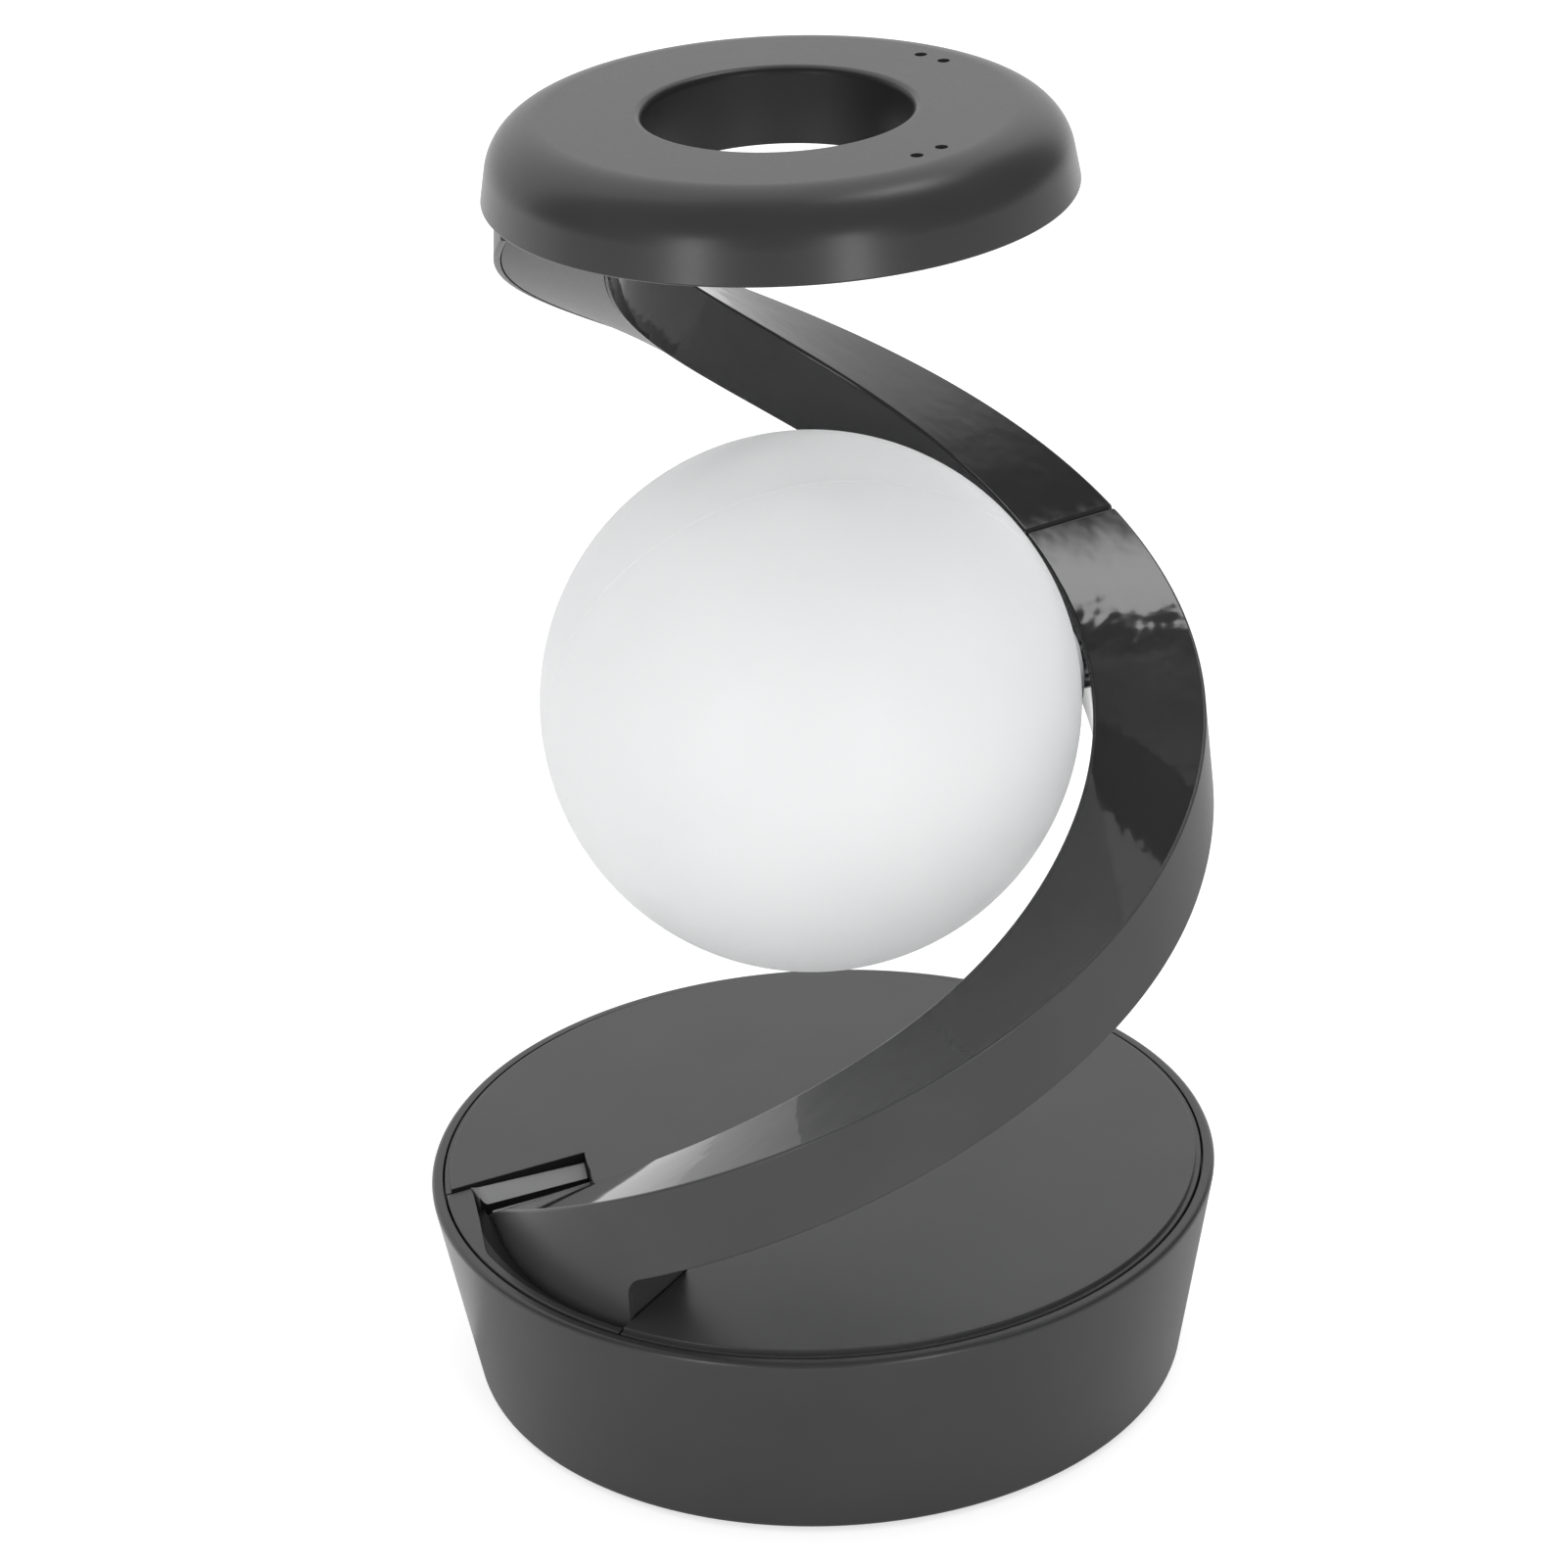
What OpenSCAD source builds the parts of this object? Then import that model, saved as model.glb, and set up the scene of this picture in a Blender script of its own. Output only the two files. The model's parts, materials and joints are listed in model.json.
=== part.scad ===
// Spiral table lamp: a drum base, a helical arm round an opal globe, and a ring head.
// Millimetres, +Z up, origin at the middle of the underside, front of the lamp towards -Y.
// Angles about Z start at +X and run counter-clockwise seen from above.

/* [Base] */
// Radius of the base at its rim
base_r = 60; // [58:0.5:66]
// Radius of the base at its lower edge
base_foot_r = 54.2; // [52:0.2:57]
// Height of the rim above the table
base_h = 32.5; // [30:0.5:40]
// Wall of the base shell
base_wall = 2; // [1.6:0.1:2.4]
// Width of the flat rim
rim_w = 1.9; // [1.6:0.1:2.3]
// Rounding of the rim's outer edge
rim_round = 0.8; // [0.4:0.1:1.2]
// Rounding of the lower edge
skirt_round = 1.2; // [0.6:0.1:1.6]
// Thickness of the top plate
plate_t = 3.3; // [2.8:0.1:3.8]
// Height of the top plate's face above the rim
plate_rise = 0.7; // [0.4:0.1:1.2]
// Drop from that face to the step round the plate's edge
step_h = 0.6; // [0.3:0.1:1]
// Width of that step
step_w = 0.8; // [0.5:0.1:1.5]
// Gap seen between the top plate and the rim
plate_gap = 0.3; // [0.2:0.05:0.5]
// Thickness of the ledge that carries the top plate
ledge_t = 2; // [1.6:0.1:2.4]
// Width of that ledge
ledge_w = 14; // [12:0.5:18]
// Thickness of the bottom cover
bottom_t = 2; // [1.6:0.1:3]
// Diameter of a foot pad
pad_d = 12; // [8:0.5:14]
// Thickness of a foot pad
pad_t = 1.6; // [1.2:0.1:2]
// Height of the bottom cover above the table
pad_stand = 0.8; // [0.5:0.1:1]
// Radius of the circle of foot pads
pad_circle_r = 40; // [36:0.5:42]
// Thickness of the steel ballast
ballast_t = 4; // [2:0.5:6]
// Radius of the steel ballast
ballast_r = 33; // [28:0.5:33.5]

/* [Arm foot] */
// Distance from the rim to the arm's outer face at the toe
foot_inset = 8.7; // [7:0.1:11]
// Depth of the foot pocket below the top plate
pocket_depth = 4.9; // [4.7:0.1:5.4]
// Thickness of the foot plate
foot_t = 3; // [2.4:0.1:3.6]
// Angle of the pocket's back wall at its inner end
pocket_in_angle = -182.7; // [-186:0.1:-179]
// Angle of the pocket's back wall at the rim
pocket_out_angle = -171.9; // [-175:0.1:-170]
// Draw-out of the pocket's inner edge at its back corner
pocket_draw = 0.9; // [0.4:0.1:1.4]
// Reach of the ramp in front of the pocket's back wall
ramp_reach = 3.6; // [2.5:0.1:4.2]
// Drop from the top plate to the ramp's crest at the outer end
ramp_drop = 0.5; // [0.3:0.1:1]
// Fall of the ramp from its crest to its front edge
ramp_fall = 1.5; // [1:0.1:2]
// Tilt of the ramp along the back wall, in degrees
ramp_tilt = 3; // [1:0.5:5]
// Drop from the top plate to the lip between the moat and the rim
lip_drop = 0.5; // [0.3:0.1:0.7]
// Overlap of the shelf under the edges of the foot plate
shelf_lap = 1.5; // [1:0.1:2]
// Thickness of the shelf under the foot plate
shelf_t = 2; // [1.6:0.1:3]
// Angle where the tenon inside the arm begins
tenon_angle = -152; // [-156:0.5:-146]
// Width of the lip between the moat round the arm and the rim
moat_lip = 1.4; // [1.2:0.1:2]
// Extra width of that lip beside the toe
crescent_w = 2.7; // [1:0.1:3]
// Angle where the lip begins to widen
crescent_angle = -153; // [-158:0.5:-145]

/* [Arm] */
// Radial width of the arm near its foot
arm_w = 15.5; // [14:0.1:17]
// Extra width of the arm beside the globe and above
arm_swell = 1; // [0.5:0.1:1.5]
// Lean of the arm's walls there, outwards over the arm's height
arm_lean = 1.1; // [0.8:0.1:1.5]
// Angle where the swelling and the lean begin
swell_start = -75; // [-90:1:-60]
// Angle where they are complete
swell_end = -25; // [-35:1:-15]
// Height of the arm
arm_h = 14.1; // [13.6:0.1:16]
// Wall of the arm mouldings
arm_wall = 2; // [1.6:0.1:2.2]
// Chamfer along the arm's upper edges
arm_edge = 0.4; // [0.2:0.1:0.8]
// Rise of the arm in one full turn
arm_pitch = 167.3; // [155:0.5:180]
// Sharpness of the bend in the arm's barrel outline
arm_bow = 1.94; // [1.5:0.02:3]
// Angle of the toe's outer corner, where the arm begins
foot_angle = -168; // [-170:0.5:-164]
// Drop from the top plate to the arm's top face there, before the toe's own dip
toe_drop = 1.3; // [1:0.1:1.6]
// Dip of the toe below the arm's even slope
toe_dip = 0.9; // [0.4:0.1:1.2]
// Angle over which the toe's dip and its slanted end fade out
toe_fade = 16; // [12:0.5:16]
// Angle of the step where the arm lifts off the base
notch_angle = -121.5; // [-126:0.5:-118]
// Fillet at that step
notch_round = 2; // [1:0.1:3]
// Angle where the arm is widest
widest_angle = -29; // [-40:1:-20]
// Angle of the joint between the lower and the upper moulding
splice_angle = 32; // [30:0.5:40]
// Angle where the arm's top face meets the ring head
head_angle = 166.4; // [160:0.2:172]
// Height of the arm's tip under the ring head
tip_h = 4.7; // [4.5:0.1:6]
// Gap seen at the joint between the mouldings
seam = 0.25; // [0.15:0.05:0.4]
// Thickness of the strips that close the underside
strip_t = 1.6; // [1.2:0.1:2]
// Depth of those strips below the arm's lower edges
strip_inset = 0.2; // [0:0.05:0.5]
// Thickness of the turned ends of the strips
strip_end = 2; // [1.5:0.1:3]
// Half length of the splice block, along the arm
splice_half = 5; // [4:0.5:6]

/* [Globe] */
// Radius of the globe
globe_r = 39.6; // [36:0.2:42]
// Wall of the globe
globe_wall = 1.8; // [1.6:0.1:2.2]
// Room between the globe and the arm's lower inner edge where they come closest
globe_gap = 0.3; // [0.25:0.05:2]
// Angle where they come closest
near_angle = 40; // [36:1:44]
// Offset of the globe's centre from the middle of the lamp, towards the axle
globe_shift = 1.2; // [0.2:0.1:1.4]
// Turn of the globe's seam about the axle
globe_phase = 15; // [0:1:90]
// Thickness of the locating lip inside the seam
lip_t = 0.8; // [0.6:0.1:0.9]
// Height of that lip
lip_h = 1.5; // [1:0.1:2.5]

/* [Axle] */
// Angle of the axle round the lamp
axle_angle = 12; // [8:0.5:16]
// Diameter of the journal that the globe turns on
journal_d = 7; // [6:0.2:7.4]
// Diameter of the shank inside the arm
shank_d = 5; // [4.4:0.1:5.4]
// Wire way through the axle
wire_bore_d = 2.6; // [2:0.1:3]
// Radial running clearance of the globe's hub
run_gap = 0.05; // [0.02:0.01:0.1]
// Diameter of the hub's collar
hub_d = 11.4; // [10:0.2:12]
// Diameter of the hub's flange inside the globe
hub_flange_d = 24; // [20:0.5:28]
// Thickness of the hub's flange
hub_flange_t = 2; // [1.6:0.1:3]
// Height of the collar above the globe
hub_stand = 0.3; // [0.2:0.05:0.4]
// End play between the hub and its washer
end_play = 0.3; // [0.2:0.05:0.5]
// Thickness of the thrust washer
washer_t = 0.8; // [0.5:0.1:1.2]
// Diameter of the thrust washer
washer_d = 12; // [10:0.5:14]
// Width across the flats of the axle nut
nut_af = 7; // [6.6:0.1:7.4]
// Thickness of the axle nut
nut_t = 3; // [2.4:0.1:3.4]
// Radial depth of the bracket that holds the axle
bracket_d = 6; // [5:0.1:6.4]
// Half length of that bracket, along the arm
bracket_half = 6; // [5:0.5:8]

/* [Light source] */
// Diameter of the light source's heat sink post
post_d = 14; // [12:0.5:16]
// Length of that post
post_len = 16; // [10:0.5:20]
// Diameter of the light source's board
led_board_d = 22; // [18:0.5:26]
// Thickness of that board and of the flange behind it
led_board_t = 1.2; // [1:0.1:1.6]
// Width of one light-emitting chip
chip_w = 3; // [2:0.1:3.5]
// Height of one light-emitting chip
chip_h = 0.8; // [0.6:0.1:1.2]
// Radius of the circle of chips
chip_circle_r = 7; // [6:0.1:8]

/* [Ring head] */
// Radius of the ring head at its lower edge
head_r = 41.7; // [40:0.1:46]
// Height of the ring head
head_h = 11.4; // [10.5:0.1:14]
// Lean of the outer wall over that height
head_lean = 1.85; // [1:0.05:2.5]
// Rounding of the outer top edge
head_round = 8.2; // [6:0.1:9]
// Radius of the hole
hole_r = 18.8; // [16:0.1:20]
// Rounding of the hole's top edge
hole_round = 1.2; // [0.6:0.1:1.6]
// Wall of the ring's top shell
head_wall = 1.8; // [1.5:0.1:2.2]
// Thickness of the ring's underside cover
head_cover_t = 1.6; // [1.2:0.1:2]
// Distance from the ring's edge to the arm's outer face
head_inset = 0.7; // [0.3:0.1:2]
// Diameter of the pin holes in the top
pin_hole_d = 1.8; // [1.2:0.1:2.4]
// Radius of the circle of pin holes
pin_circle_r = 30; // [28:0.1:32]
// Half spacing of a pair of pin holes, in degrees
pin_half_angle = 4.4; // [4:0.1:5]
// Inner radius of the ring's circuit board
ring_board_in_r = 23; // [22.5:0.1:25]
// Outer radius of the ring's circuit board
ring_board_out_r = 35; // [34:0.1:36]
// Thickness of the circuit boards
board_t = 1.6; // [1:0.1:2]

/* [Electronics] */
// Height of the main board's underside above the table
board_z = 12; // [10:0.5:13]
// Width of the main board
board_w = 52; // [50:1:60]
// Reach of the main board towards the front
board_front = 22; // [21:1:30]
// Reach of the main board towards the rear
board_rear = 43; // [42:0.5:44]
// Width of the tongue that carries the power socket
tongue_w = 16; // [12:0.5:20]
// Width of the power socket's shell
usb_w = 8.94; // [8.9:0.01:9]
// Height of the power socket's shell
usb_h = 3.26; // [3.2:0.01:3.3]
// Depth of the power socket
usb_depth = 7.35; // [7:0.05:8]
// Sheet thickness of the power socket's shell
usb_sheet = 0.3; // [0.2:0.05:0.4]
// Recess of the socket's mouth behind the base wall
usb_recess = 0.8; // [0.5:0.1:1]
// Diameter of the touch electrode under the top plate
touch_d = 36; // [20:1:50]
// Thickness of the touch electrode
touch_t = 0.4; // [0.2:0.1:1]
// Diameter of the coil on the main board
coil_d = 10; // [6:0.5:12]
// Height of that coil
coil_h = 5; // [3:0.5:7]
// Diameter of the capacitor on the main board
cap_d = 6.3; // [4:0.1:8]
// Height of that capacitor
cap_h = 7.5; // [5:0.5:9]
// Width of the control chip on the main board
ic_w = 9; // [5:0.5:10]
// Height of that chip
ic_h = 1.2; // [0.8:0.1:2]
// Width of the wire connector on the main board
plug_w = 12; // [8:0.5:16]
// Height of that connector
plug_h = 5.5; // [4:0.5:7]

/* [Fasteners] */
// Diameter of the screws
screw_d = 2.6; // [2.2:0.1:2.8]
// Diameter of the screw heads
screw_head_d = 5; // [4.5:0.1:5.4]
// Height of the screw heads
screw_head_h = 1.1; // [0.9:0.1:1.2]
// Outside diameter of the bosses that take a screw
boss_d = 7; // [6:0.1:7.4]
// Length of the bottom cover's screws under the head
cover_screw_len = 9; // [7:0.5:11]
// Length of the main board's and the ring's screws under the head
short_screw_len = 6; // [5:0.5:7]
// Grip of the foot screws in the tenon
foot_screw_grip = 7; // [5:0.5:8]
// Play round parts that are set into one another
fit = 0.15; // [0.1:0.01:0.2]

/* [Hidden] */
$fn = 96;

dark = [0.27, 0.27, 0.28];
plate_dark = [0.31, 0.31, 0.32];
opal = [0.92, 0.93, 0.94];
steel = [0.62, 0.63, 0.65];
board_green = [0.10, 0.32, 0.20];

// Overlap that makes cuts and joints clean
eps = 0.5;
// Angular step of the arm and the smallest angle between two of its rings
arm_step = 3;
hair = 0.02;

// Heights in the base
plate_z = base_h + plate_rise;
ledge_z = plate_z - plate_t;
floor_z = plate_z - pocket_depth;
shelf_z = floor_z - foot_t;
deck_z = pad_stand + bottom_t;
plate_r = base_r - rim_w - plate_gap;
ballast_z = deck_z + ballast_t;

// The arm's outer radius at the toe and at the ring head
arm_r_foot = base_r - foot_inset;
arm_r_top = head_r - head_inset;
arm_slope = arm_pitch / 360;
function degrees_at(length, radius) = length / radius * 180 / PI;
function bow(x) = (sqrt(1 + pow(arm_bow * x, 2)) - 1) / (sqrt(1 + pow(arm_bow, 2)) - 1);
function toe_share(t) = max(0, 1 - (t - foot_angle) / toe_fade);
function arm_z(t) = plate_z - toe_drop + arm_slope * (t - foot_angle) - toe_dip * pow(toe_share(t), 2);
axle_z = arm_z(axle_angle) - (arm_wall + arm_h - strip_t - strip_inset) / 2;
// The arm's outer radius at its widest place, so that its lower inner edge clears the globe
near_rise = arm_z(near_angle) - arm_h - axle_z;
near_globe_r = sqrt(pow(globe_r, 2) - pow(near_rise, 2)) + globe_shift * cos(near_angle - axle_angle);
near_arm_r = near_globe_r + globe_gap + arm_w + arm_swell - arm_lean;
near_share = bow((near_angle - widest_angle) / (head_angle - widest_angle));
arm_r_max = (near_arm_r - arm_r_top * near_share) / (1 - near_share);
function arm_r(t) = t < widest_angle
  ? arm_r_max - (arm_r_max - arm_r_foot) * bow((widest_angle - t) / (widest_angle - foot_angle))
  : arm_r_max - (arm_r_max - arm_r_top) * bow((t - widest_angle) / (head_angle - widest_angle));
// Share of the swelling and the lean at an angle, and the walls' outward shift at a height
function swell(t) = let (x = max(0, min(1, (t - swell_start) / (swell_end - swell_start)))) x * x * (3 - 2 * x);
function lean_at(t, z) = arm_lean * swell(t) * (arm_z(t) - z) / arm_h;
function leaned(t, points) = [for (p = points) [p[0] + lean_at(t, p[1]), p[1]]];
function arm_in_r(t) = arm_r(t) - arm_w - arm_swell * swell(t);
function arm_mid_r(t) = (arm_r(t) + arm_in_r(t)) / 2;
head_z = arm_z(head_angle);
tip_angle = head_angle + (arm_h - tip_h) / arm_slope;
notch_deg = degrees_at(notch_round, arm_r(notch_angle));
strip_end_deg = degrees_at(strip_end, arm_mid_r(notch_angle));
tip_end_deg = degrees_at(strip_end, arm_mid_r(head_angle));
seam_deg = degrees_at(seam, arm_r(splice_angle));
splice_deg = degrees_at(splice_half, arm_mid_r(splice_angle));
bracket_deg = degrees_at(bracket_half, arm_mid_r(axle_angle));

// The arm's top and lower edge at an angle, with the fillet at the step
function arm_top(t) = min(arm_z(t), head_z);
function notch_drop(t) = let (x = min(1, (t - notch_angle) / notch_deg))
  notch_round * (1 - sqrt(max(0, 1 - pow(1 - x, 2))));
function arm_low(t) = t <= notch_angle ? floor_z : arm_z(t) - arm_h - notch_drop(t);
// Top face of the closing strip
function strip_top(t) = arm_z(t) - arm_h + strip_inset + strip_t;

// Distances along the axle, from the middle of the lamp outwards
hub_out = globe_shift + globe_r + hub_stand;
flange_out = globe_shift + sqrt(pow(globe_r - globe_wall, 2) - pow(hub_flange_d / 2, 2)) - fit;
flange_in = flange_out - hub_flange_t;
washer_in = flange_in - end_play - washer_t;
post_in = washer_in - post_len;
bracket_in = arm_in_r(axle_angle) + lean_at(axle_angle, axle_z) + arm_wall + fit;
axle_seat = bracket_in + 0.8;
nut_seat = bracket_in + bracket_d - 0.5;
axle_out = nut_seat + nut_t + 0.4;

// Where the screws and bosses stand
cover_screw_angles = [30, 150, 270];
cover_screw_r = base_foot_r - base_wall - boss_d / 2 - 0.3;
foot_screw_angles = [-131, -145];
head_screw_angles = [80, 180, 280];
pad_angles = [45, 135, 225, 315];
pin_pair_angles = [42, -48];
board_hole_x = board_w / 2 - boss_d / 2 - 1.5;
board_hole_ys = [boss_d / 2 + 1.5 - board_front, board_rear - boss_d / 2 - 1.5];
chip_angles = [0, 60, 120, 180, 240, 300];

// Power socket
usb_z = board_z + board_t + usb_h / 2;
usb_mouth = base_out(usb_z) - usb_recess;

// Outer radius of the base at a height
function base_out(z) = base_foot_r + (base_r - base_foot_r) * z / base_h;
function polar(r, t) = [r * cos(t), r * sin(t)];
function steps(a, b) = let (n = max(1, ceil((b - a) / arm_step))) [for (i = [0:n]) a + (b - a) * i / n];
// Back wall of the foot pocket: its ends and its direction from the rim inwards
back_out = polar(plate_r, pocket_out_angle);
back_in = polar(arm_in_r(foot_angle) - fit + pocket_draw, pocket_in_angle);
back_len = norm(back_in - back_out);
back_dir = (back_in - back_out) / back_len;
// Turn of the toe's inner corner past its outer one, so that its end runs along the back wall
toe_out = polar(arm_r_foot, foot_angle);
toe_reach = -(toe_out * back_dir);
toe_len = toe_reach - sqrt(pow(toe_reach, 2) - pow(arm_r_foot, 2) + pow(arm_in_r(foot_angle), 2));
toe_in = toe_out + toe_len * back_dir;
toe_turn = foot_angle + 360 - (atan2(toe_in[1], toe_in[0]) + 360) % 360;
toe_in_angle = foot_angle - toe_turn;
function turned(t, r) = t - toe_turn * toe_share(t) * (arm_r_foot - r) / arm_w;
// Radius of the pocket's inner edge, which draws out past the toe
function pocket_in_r(t) = arm_in_r(max(t, foot_angle)) - fit
  + pocket_draw * max(0, (toe_in_angle - t) / (toe_in_angle - pocket_in_angle));
// Points of an arc about a centre
function arc(cx, cy, r, a, b, n = 8) = [for (i = [0:n]) [cx, cy] + polar(r, a + (b - a) * i / n)];

// Solid through rings of one section each: a ring is an angle and its [radius, height] points
module sweep(rings) {
  n = len(rings[0][1]);
  last = len(rings) - 1;
  points = [for (ring = rings) for (p = ring[1]) concat(polar(p[0], turned(ring[0], p[0])), p[1])];
  sides = [for (i = [0:last - 1]) for (j = [0:n - 1])
    let (a = i * n + j, b = i * n + (j + 1) % n)
    each [[a, b, b + n], [a, b + n, a + n]]];
  caps = [[for (j = [n - 1:-1:0]) j], [for (j = [0:n - 1]) last * n + j]];
  polyhedron(points = points, faces = concat(sides, caps), convexity = 10);
}

// Channel section of an arm moulding, open below
function channel(t) = let (out = arm_r(t), in = arm_in_r(t), top = arm_top(t), low = arm_low(t),
  roof = top - arm_wall)
  leaned(t, [[out, low], [out, top - arm_edge], [out - arm_edge, top], [in + arm_edge, top],
    [in, top - arm_edge], [in, low], [in + arm_wall, low], [in + arm_wall, roof], [out - arm_wall, roof],
    [out - arm_wall, low]]);
// Section that fills the channel between two heights
function filling(t, low, top) = let (out = arm_r(t) - arm_wall - fit, in = arm_in_r(t) + arm_wall + fit)
  leaned(t, [[out, low], [out, top], [in, top], [in, low]]);

// Places the children on the axle's line, with +Z pointing out along the axle
module on_axle(distance) {
  rotate([0, 0, axle_angle]) translate([0, 0, axle_z]) rotate([0, 90, 0])
    translate([0, 0, distance]) children();
}

module tube(outer_d, inner_d, length) {
  difference() {
    cylinder(d = outer_d, h = length);
    translate([0, 0, -eps]) cylinder(d = inner_d, h = length + 2 * eps);
  }
}

// Pan-head screw with its seat at Z = 0, the shank pointing up
module screw(length) {
  translate([0, 0, -screw_head_h]) cylinder(d = screw_head_d, h = screw_head_h);
  cylinder(d = screw_d, h = length);
}

// Outline of the foot pocket in the top plate, drawn in by a margin, out to a radius
module foot_outline(margin, outer_r) {
  turn = degrees_at(margin, arm_r_foot);
  inner = steps(pocket_in_angle + turn, notch_angle + degrees_at(fit, arm_r_foot) - turn);
  outer = steps(pocket_out_angle + turn, notch_angle + degrees_at(fit, arm_r_foot) - turn);
  polygon(concat(
    [for (t = inner) polar(pocket_in_r(t) + margin, t)],
    [for (i = [len(outer) - 1:-1:0]) polar(outer_r, outer[i])]));
}

// Radius of the moat's outer edge, which draws in beside the toe
moat_end = pocket_out_angle + 1.5;
function moat_r(t) = let (x = max(0, min(1, (crescent_angle - t) / (crescent_angle - moat_end))))
  plate_r - moat_lip - crescent_w * x * (2 - x);

// Outline of the moat and the pocket, reaching past the foot plate on its other sides
module moat_outline() {
  inner = steps(pocket_in_angle - 8, notch_angle + 4);
  outer = steps(moat_end, notch_angle + 4);
  polygon(concat(
    [for (t = inner) polar(arm_in_r(foot_angle) / 1.2, t)],
    [for (i = [len(outer) - 1:-1:0]) polar(moat_r(outer[i]), outer[i])],
    [polar(moat_r(moat_end), pocket_out_angle - 4)]));
}

module base_shell() {
  lean = atan((base_r - base_foot_r) / base_h);
  rim_in = base_r - rim_w;
  skirt_r = base_out(pad_stand);
  foot_r = base_out(shelf_z) - base_wall;
  color(dark) difference() {
    union() {
      rotate_extrude() polygon(concat(
        [[skirt_r - base_wall, pad_stand]],
        arc(skirt_r - skirt_round, pad_stand + skirt_round, skirt_round, -90, -lean),
        arc(base_r - rim_round, base_h - rim_round, rim_round, -lean, 90),
        [[rim_in, base_h], [rim_in, ledge_z], [rim_in - ledge_w, ledge_z],
         [rim_in - ledge_w, ledge_z - ledge_t],
         [base_out(ledge_z - ledge_t) - base_wall, ledge_z - ledge_t]]));
      translate([0, 0, shelf_z - shelf_t]) linear_extrude(shelf_t)
        foot_outline(-shelf_lap, base_out(shelf_z - shelf_t) - base_wall / 2);
      for (a = cover_screw_angles) rotate([0, 0, a]) translate([cover_screw_r, 0, deck_z])
        cylinder(d = boss_d, h = ledge_z - ledge_t / 2 - deck_z);
    }
    translate([0, 0, ledge_z - ledge_t - eps]) linear_extrude(ledge_t + 2 * eps)
      foot_outline(-fit, foot_r);
    for (a = cover_screw_angles) rotate([0, 0, a]) translate([cover_screw_r, 0, deck_z - eps])
      cylinder(d = screw_d + fit, h = cover_screw_len + 3 * eps);
    for (a = foot_screw_angles) rotate([0, 0, a])
      translate([arm_mid_r(a), 0, shelf_z - shelf_t - eps])
        cylinder(d = screw_d + 2 * fit, h = shelf_t + 2 * eps);
    translate([0, usb_mouth, usb_z]) rotate([90, 0, 0]) translate([0, 0, -2 * base_wall])
      stadium(usb_w + 2 * fit, usb_h + 2 * fit, 4 * base_wall);
  }
}

module top_plate() {
  color(plate_dark) difference() {
    union() {
      translate([0, 0, ledge_z]) cylinder(r = plate_r, h = plate_t - step_h);
      translate([0, 0, ledge_z]) cylinder(r = plate_r - step_w, h = plate_t);
    }
    translate([0, 0, ledge_z - eps]) linear_extrude(plate_t + 2 * eps) foot_outline(0, base_r);
  }
}

module bottom_cover() {
  color(dark) difference() {
    union() {
      translate([0, 0, pad_stand]) cylinder(r = base_out(pad_stand) - base_wall - fit, h = bottom_t);
      board_places() translate([0, 0, deck_z - eps]) cylinder(d = boss_d - 1, h = board_z - deck_z + eps);
    }
    for (a = pad_angles) rotate([0, 0, a]) translate([pad_circle_r, 0, pad_stand - eps])
      cylinder(d = pad_d + 2 * fit, h = pad_t - pad_stand + eps);
    for (a = cover_screw_angles) rotate([0, 0, a]) translate([cover_screw_r, 0, pad_stand - eps]) {
      cylinder(d = screw_d + 2 * fit, h = bottom_t + 2 * eps);
      cylinder(d = screw_head_d + 2 * fit, h = screw_head_h + eps);
    }
    board_places() translate([0, 0, deck_z]) cylinder(d = screw_d + fit, h = board_z);
  }
}

module foot_pads() {
  color([0.12, 0.12, 0.12]) for (a = pad_angles) rotate([0, 0, a]) translate([pad_circle_r, 0, 0])
    cylinder(d = pad_d, h = pad_t);
}

module cover_screws() {
  color(steel) for (a = cover_screw_angles) rotate([0, 0, a])
    translate([cover_screw_r, 0, pad_stand + screw_head_h]) screw(cover_screw_len);
}

// Disc with an ear round each front hole, should the hole come near its edge
module ballast_plate() {
  ear_w = ballast_t / 2;
  color(steel) difference() {
    translate([0, 0, deck_z]) linear_extrude(ballast_t) {
      circle(r = ballast_r);
      board_places([board_hole_ys[0]]) circle(d = boss_d + 2 * ear_w);
    }
    board_places() translate([0, 0, deck_z - eps]) cylinder(d = boss_d, h = ballast_t + 2 * eps);
  }
}

// Repeats the children at the fixing places of the main board
module board_places(ys = board_hole_ys) {
  for (x = [-board_hole_x, board_hole_x]) for (y = ys) translate([x, y, 0]) children();
}

module main_board() {
  tongue_end = usb_mouth - 3;
  color(board_green) difference() {
    translate([0, 0, board_z]) linear_extrude(board_t) {
      translate([-board_w / 2, -board_front]) square([board_w, board_front + board_rear]);
      translate([-tongue_w / 2, 0]) square([tongue_w, tongue_end]);
    }
    board_places() translate([0, 0, board_z - eps])
      cylinder(d = screw_d + 2 * fit, h = board_t + 2 * eps);
  }
}

module board_parts() {
  color([0.15, 0.15, 0.16]) translate([0, 0, board_z + board_t]) {
    translate([-board_w / 4, board_rear / 5, 0]) cylinder(d = coil_d, h = coil_h);
    translate([board_w / 6, board_rear / 10, 0]) cube([ic_w, ic_w, ic_h]);
    translate([-plug_w / 2, -board_front * 0.65, 0]) cube([plug_w, plug_w / 2, plug_h]);
    translate([-board_w / 3, board_rear * 0.55, 0]) cylinder(d = cap_d, h = cap_h);
    translate([board_w / 8, board_rear * 0.55, 0]) cube([ic_w * 0.7, ic_w * 0.55, ic_h]);
  }
}

module board_screws() {
  color(steel) board_places() translate([0, 0, board_z + board_t]) mirror([0, 0, 1]) screw(short_screw_len);
}

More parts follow.
